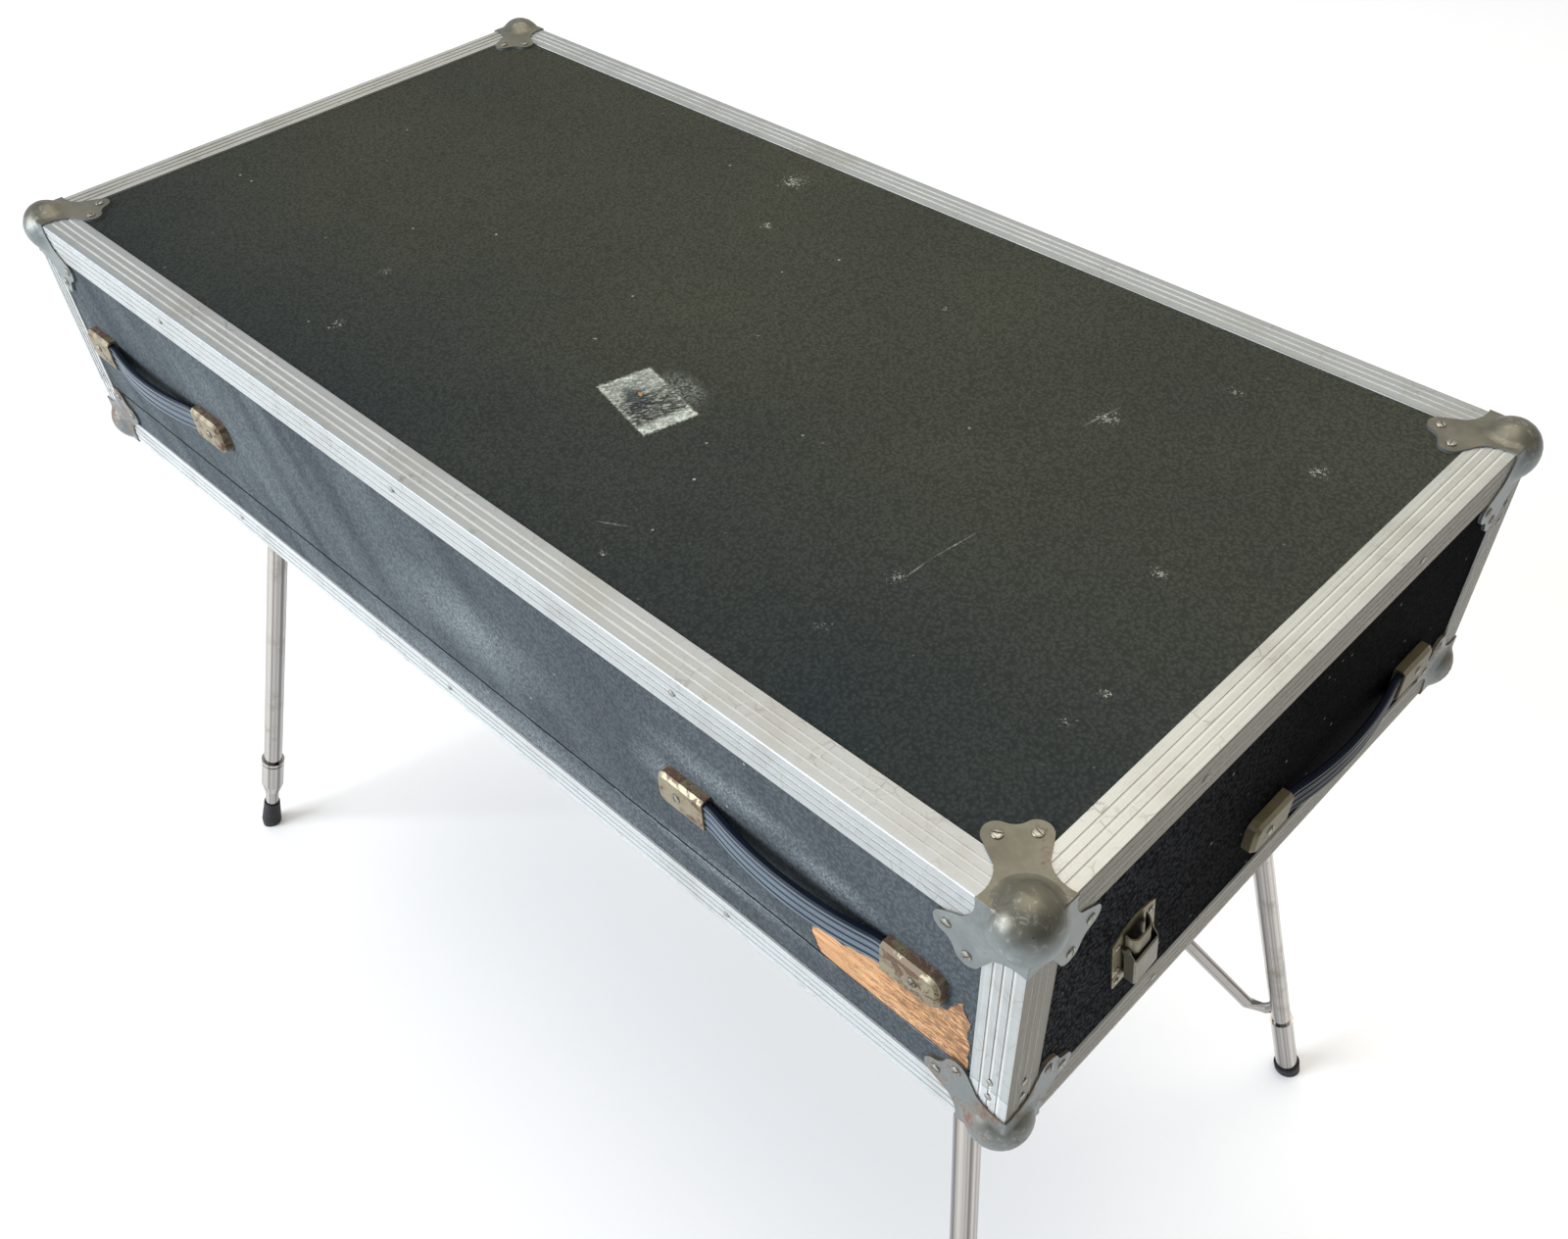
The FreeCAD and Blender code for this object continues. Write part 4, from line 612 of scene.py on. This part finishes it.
finishes["latch_pins"] = nickel
for name in ("hinge_lid_leaves", "hinge_base_leaves", "hinge_pins"):
    finishes[name] = zinc_hinge
nylon = pale_nylon()
for side in ("left", "right"):
    for name in ("latch_lever_", "latch_hook_", "latch_rivets_"):
        finishes[name + side] = nickel
    for name in ("front_strap_", "side_strap_"):
        finishes[name + side] = vinyl
    for name in ("front_leg_tube_", "rear_leg_tube_", "rear_brace_", "leg_extension_", "leg_collar_"):
        finishes[name + side] = chrome
    finishes["extension_bush_" + side] = nylon
    finishes["front_foot_" + side] = rubber
for name, finish in finishes.items():
    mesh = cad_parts[name].data
    mesh.materials.clear()
    mesh.materials.append(finish)


def new_piece(name, build, finish, body):
    """Mesh piece with its finish, riding on a body."""
    mesh = bpy.data.meshes.new(name)
    build.to_mesh(mesh)
    build.free()
    mesh.materials.append(finish)
    piece = bpy.data.objects.new(name, mesh)
    bpy.context.scene.collection.objects.link(piece)
    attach(piece, body)
    return piece


def screw_head(radius, height, slot_width):
    """Domed head with a milled slot, standing on z = 0. A rivet has no slot."""
    head = bmesh.new()
    steps = 20
    profile = [(1.0, 0.0), (1.0, 0.35), (0.93, 0.62), (0.72, 0.86), (0.4, 0.98)]
    rings = []
    turns = [2 * math.pi * i / steps for i in range(steps)]
    for share, rise in profile:
        wide = radius * share
        rings.append([head.verts.new((wide * math.cos(t), wide * math.sin(t), height * rise)) for t in turns])
    for low, high in zip(rings, rings[1:]):
        for i in range(steps):
            head.faces.new((low[i], low[(i + 1) % steps], high[(i + 1) % steps], high[i]))
    head.faces.new(rings[-1])
    head.faces.new(list(reversed(rings[0])))
    if slot_width:
        for side in (-1, 1):
            parts = head.verts[:] + head.edges[:] + head.faces[:]
            bmesh.ops.bisect_plane(head, geom=parts, plane_co=(0, side * slot_width / 2, 0),
                                   plane_no=(0, 1, 0))
        channel = [f for f in head.faces
                   if abs(f.calc_center_median().y) < slot_width / 2 and f.normal.z > -0.5]
        cut = bmesh.ops.extrude_face_region(head, geom=channel)
        for vert in (e for e in cut["geom"] if isinstance(e, bmesh.types.BMVert)):
            vert.co.z = min(vert.co.z, height * 0.45)
        bmesh.ops.delete(head, geom=channel, context="FACES")
    bmesh.ops.recalc_face_normals(head, faces=head.faces[:])
    for face in head.faces:
        face.smooth = False
    mesh = bpy.data.meshes.new("screw_head")
    head.to_mesh(mesh)
    head.free()
    return mesh


def heads_at(mesh, seats):
    """Many heads in one mesh; every slot lies at its own angle."""
    group = bmesh.new()
    for i, (seat, outward) in enumerate(seats):
        stand = Vector(outward).to_track_quat("Z", "Y").to_matrix().to_4x4()
        turn = Matrix.Rotation(i * 2.4, 4, "Z")
        start = len(group.verts)
        group.from_mesh(mesh)
        group.verts.ensure_lookup_table()
        bmesh.ops.transform(group, matrix=Matrix.Translation(seat) @ stand @ turn, verts=group.verts[start:])
    return group


def corner_seats(half):
    """Two screws on each of the three tongues of the four corners of one half."""
    out = 1 if half == "lid" else -1
    seats = []
    for sx in (-1, 1):
        for sy in (-1, 1):
            corner = Vector((sx * half_length, middle_y + sy * half_width, top_z if out > 0 else bottom_z))
            inward = [Vector((-sx, 0, 0)), Vector((0, -sy, 0)), Vector((0, 0, -out))]
            for i in range(3):
                first, second, outward = inward[i], inward[(i + 1) % 3], -inward[(i + 2) % 3]
                for far, near in (lobe_reach, lobe_reach[::-1]):
                    seats.append((corner + first * far + second * near + outward * leaf_thickness, outward))
    return seats


def cad_screw_seats(name):
    """Seat, outward direction and radius of each screw of a CAD node, from the head's own box, sorted by
    place so that each run turns the slots the same way."""
    cad = bmesh.new()
    cad.from_mesh(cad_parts[name].data)
    bmesh.ops.remove_doubles(cad, verts=cad.verts[:], dist=1e-6)
    left = set(cad.verts)
    seats = []
    while left:
        found, frontier = set(), [left.pop()]
        while frontier:
            vert = frontier.pop()
            found.add(vert)
            near = [e.other_vert(vert) for e in vert.link_edges]
            frontier += [v for v in near if v in left]
            left -= set(near)
        low = Vector([min(v.co[k] for v in found) for k in range(3)])
        high = Vector([max(v.co[k] for v in found) for k in range(3)])
        thin = min(range(3), key=lambda k: high[k] - low[k])
        outward = Vector((0, 0, 0))
        middle = (low + high) / 2
        outward[thin] = math.copysign(1, middle[thin] - (0, middle_y, 0)[thin])
        radius = max(high - low) / 2
        seats.append((middle - outward * (high[thin] - low[thin]) / 2, outward, radius))
    cad.free()
    return sorted(seats, key=lambda seat: [round(v / mm) for v in seat[0]])


large_head = screw_head(3.8 * mm, 1.5 * mm, 1.0 * mm)
small_head = screw_head(2.6 * mm, 1.2 * mm, 0.8 * mm)
rivet_head = screw_head(2.6 * mm, 0.9 * mm, 0)
# Handles have large screws, latches and keepers smaller ones than this
large_radius = 3 * mm

for half in ("lid", "base"):
    new_piece(half + "_corner_screws", heads_at(large_head, corner_seats(half)), screw_steel, half)
    cad_seats = cad_screw_seats(half + "_screws")
    group = heads_at(large_head, [(p, o) for p, o, r in cad_seats if r > large_radius])
    fittings = heads_at(small_head, [(p, o) for p, o, r in cad_seats if r <= large_radius])
    kept = bpy.data.meshes.new("fittings")
    fittings.to_mesh(kept)
    fittings.free()
    group.from_mesh(kept)
    piece = new_piece(half + "_slotted_screws", group, screw_steel, half)
    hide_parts(half + "_screws")


def hinge_seats(half):
    """Three screws in each hinge leaf on the back, between the barrel and the leaf's far edge."""
    side = 1 if half == "lid" else -1
    seats = []
    for x in (-hinge_x, 0, hinge_x):
        for across, far in hinge_screws:
            seat = Vector((x + across, back_y - edging_wall + hinge_leaf, hinge_z + side * far))
            seats.append((seat, Vector((0, 1, 0))))
    return seats


def socket_seats():
    """Four screws in the plate of each leg socket, on the underside."""
    seats = []
    for sx in (-1, 1):
        for sy in (-1, 1):
            for dx in (-socket_screw, socket_screw):
                for dy in (-socket_screw, socket_screw):
                    seat = Vector((sx * socket_x + dx, middle_y + sy * socket_y + dy,
                                   bottom_z + edging_wall - socket_plate))
                    seats.append((seat, Vector((0, 0, -1))))
    return seats


for half in ("lid", "base"):
    new_piece(half + "_hinge_screws", heads_at(large_head, hinge_seats(half)), screw_steel, half)
new_piece("socket_screws", heads_at(large_head, socket_seats()), screw_steel, "base")


def edging_rivets(half):
    """Rivets along the rails and at the ends of the posts of one half."""
    out = 1 if half == "lid" else -1
    edge_z = top_z if out > 0 else bottom_z
    mid = edging_face / 2
    seats = []
    for sy in (-1, 1):
        for x in long_rivets[half]:
            seats.append((Vector((x, middle_y + sy * half_width, edge_z - out * mid)), Vector((0, sy, 0))))
    for sx in (-1, 1):
        for y in (-short_rivet, short_rivet):
            seats.append((Vector((sx * half_length, middle_y + y, edge_z - out * mid)), Vector((sx, 0, 0))))
        for sy in (-1, 1):
            seam_z = bottom_z + (base_front if sy < 0 else base_back)
            for axis, outward in ((0, Vector((sx, 0, 0))), (1, Vector((0, sy, 0)))):
                place = Vector((sx * half_length, middle_y + sy * half_width, seam_z + out * post_rivet))
                place[1 - axis] -= (sx, sy)[1 - axis] * mid
                seats.append((place, outward))
    return seats


rivet_metal = plated_metal("aluminium_rivet_dull", "#7f7d76", "#b2b0a9", 0.36, 0.55, "#5d5950", 40)
for half in ("lid", "base"):
    new_piece(half + "_edging_rivets", heads_at(rivet_head, edging_rivets(half)), rivet_metal, half)

# Tear in the covering at the right of the lid's front: x and height from the top in millimetres
tear_outline = [(426.6, -156.4), (431, -152.2), (437.1, -149.4), (442, -149.9), (447.2, -147.8),
                (453.9, -149.7), (458, -146.2), (462.2, -144.6), (469, -143.1), (476.8, -138.9),
                (481, -133), (486, -124), (505, -121), (524, -122), (532.8, -131.5), (537, -133.2),
                (541.3, -129.7), (543.2, -124.5), (546.6, -119.5), (548.6, -114.1), (551.8, -110.6),
                (553.1, -116.8), (555.4, -121.3), (558.6, -125.7), (559.4, -129.6), (557.2, -137.4),
                (557.6, -144.9), (560.3, -149.8), (560.1, -155.4), (558.8, -163.9), (560.4, -170.2),
                (559.7, -179.6), (525.2, -179.6), (496.6, -179.6), (466.9, -179.6), (446.6, -179.6),
                (434.6, -178.2), (431.2, -173.6), (429.6, -168.1), (425.9, -161.8)]
# Height below which the tear ends in the straight cut at the seam, and how far the wood lies in front
tear_cut = -178
wood_lift = 0.12 * mm


def torn_patch():
    """Bare wood inside the tear, a hair in front of the covering so that it shows."""
    patch = bmesh.new()
    level = front_y + edging_wall - wood_lift
    ring = [patch.verts.new((x * mm, level, top_z + z * mm)) for x, z in tear_outline]
    face = patch.faces.new(ring)
    face.normal_update()
    if face.normal.y > 0:
        face.normal_flip()
    bmesh.ops.triangulate(patch, faces=patch.faces[:])
    return patch


def torn_lip():
    """Curled edge of the torn covering, with uneven lift, left out along the cut at the seam."""
    lip = bmesh.new()
    count = len(tear_outline)
    following = tear_outline[1:] + tear_outline[:1]
    turning = sum(a[0] * b[1] - b[0] * a[1] for a, b in zip(tear_outline, following))
    level = front_y + edging_wall
    sections = []
    for i, (x, z) in enumerate(tear_outline):
        before, after = tear_outline[i - 1], tear_outline[(i + 1) % count]
        side = Vector((after[0] - before[0], 0, after[1] - before[1])).normalized()
        out = Vector((-side.z, 0, side.x)) * math.copysign(1, -turning)
        lift = 0.5 + 0.45 * math.sin(i * 1.9) ** 2
        point = Vector((x * mm, level, top_z + z * mm))
        steps = [(-0.2, 0.02), (0, lift), (0.3, lift * 0.9), (0.8, 0.05)]
        sections.append([lip.verts.new(point + out * a * mm + Vector((0, -h * mm, 0))) for a, h in steps])
    for i in range(count):
        if max(tear_outline[i][1], tear_outline[(i + 1) % count][1]) < tear_cut:
            continue
        for k in range(3):
            lip.faces.new((sections[i][k], sections[(i + 1) % count][k],
                           sections[(i + 1) % count][k + 1], sections[i][k + 1]))
    for face in lip.faces:
        face.normal_update()
        if face.normal.y > 0:
            face.normal_flip()
        face.smooth = True
    return lip


new_piece("torn_wood", torn_patch(), torn_veneer(), "lid")
new_piece("torn_covering_lip", torn_lip(), torn_edge(), "lid")


def studio():
    """Pale floor, soft light from the front left and above, and a sky that darkens to the right."""
    bpy.ops.mesh.primitive_plane_add(size=60, location=(0, 0, 0))
    floor = bpy.context.object
    floor.name = "studio_floor"
    material, tree, place, _ = new_finish("studio_floor_paint")
    cloud = put(tree, "TexNoise", {"Vector": place, "Scale": 1.5, "Detail": 3})
    tone = put(tree, "MixRGB", {"Fac": cloud, "Color1": linear("#f8f8f7"), "Color2": linear("#fbfbfa")})
    close_finish(tree, {"Base Color": tone, "Roughness": 0.9})
    floor.data.materials.append(material)
    world = bpy.data.worlds.new("soft_sky")
    bpy.context.scene.world = world
    world.use_nodes = True
    sky = world.node_tree
    way = put(sky, "TexCoord", out="Generated")
    lit = put(sky, "VectorMath", {0: way, 1: (-0.75, -0.55, 0.35)}, out="Value", operation="DOT_PRODUCT")
    lit = put(sky, "MapRange", {"Value": lit, "From Min": -0.75, "From Max": 0.9},
              interpolation_type="SMOOTHSTEP")
    behind = put(sky, "VectorMath", {0: way, 1: (-0.2, 0.76, 0.62)}, out="Value", operation="DOT_PRODUCT")
    behind = put(sky, "MapRange", {"Value": behind, "From Min": 0.5, "From Max": 0.95},
                 interpolation_type="SMOOTHSTEP")
    shade = put(sky, "MixRGB", {"Fac": lit, "Color1": linear("#85827e"), "Color2": linear("#d8dee6")})
    shade = put(sky, "MixRGB", {"Fac": behind, "Color1": shade, "Color2": linear("#f6f3ea")})
    sky.links.new(shade, sky.nodes["Background"].inputs["Color"])
    sky.nodes["Background"].inputs["Strength"].default_value = 1.0
    for name, place, aim, size, power in (("window", (-5.5, -9.5, 4.6), (0, 0, 0.6), 6.5, 1560),
                                          ("ceiling", (-0.2, 0.4, 4.2), (0, 0, 0.8), 3.2, 85)):
        lamp = bpy.data.lights.new(name, "AREA")
        lamp.size = size
        lamp.energy = power
        lamp.color = linear("#f0f5ff")[:3] if name == "window" else linear("#fff6ea")[:3]
        holder = bpy.data.objects.new(name, lamp)
        holder.location = place
        holder.rotation_euler = (Vector(aim) - Vector(place)).to_track_quat("-Z", "Y").to_euler()
        bpy.context.scene.collection.objects.link(holder)


def camera():
    """Camera above the right front corner, as the picture was taken, with a slight roll."""
    lens = bpy.data.cameras.new("picture_camera")
    lens.sensor_fit = "HORIZONTAL"
    lens.sensor_width = 36
    lens.lens = 32.306
    lens.shift_x = -0.0113
    lens.shift_y = 0.0477
    lens.clip_start = 0.05
    holder = bpy.data.objects.new("picture_camera", lens)
    eye = Vector((809.06 * mm, -646.79 * mm, 1520 * mm))
    aim = Vector((382.37 * mm, -237.31 * mm, top_z))
    upright = (aim - eye).to_track_quat("-Z", "Y").to_matrix().to_4x4()
    roll = Matrix.Rotation(math.radians(-2.738), 4, "Z")
    holder.matrix_world = Matrix.Translation(eye) @ upright @ roll
    bpy.context.scene.collection.objects.link(holder)
    bpy.context.scene.camera = holder


studio()
camera()
bpy.context.scene.view_settings.view_transform = "Standard"
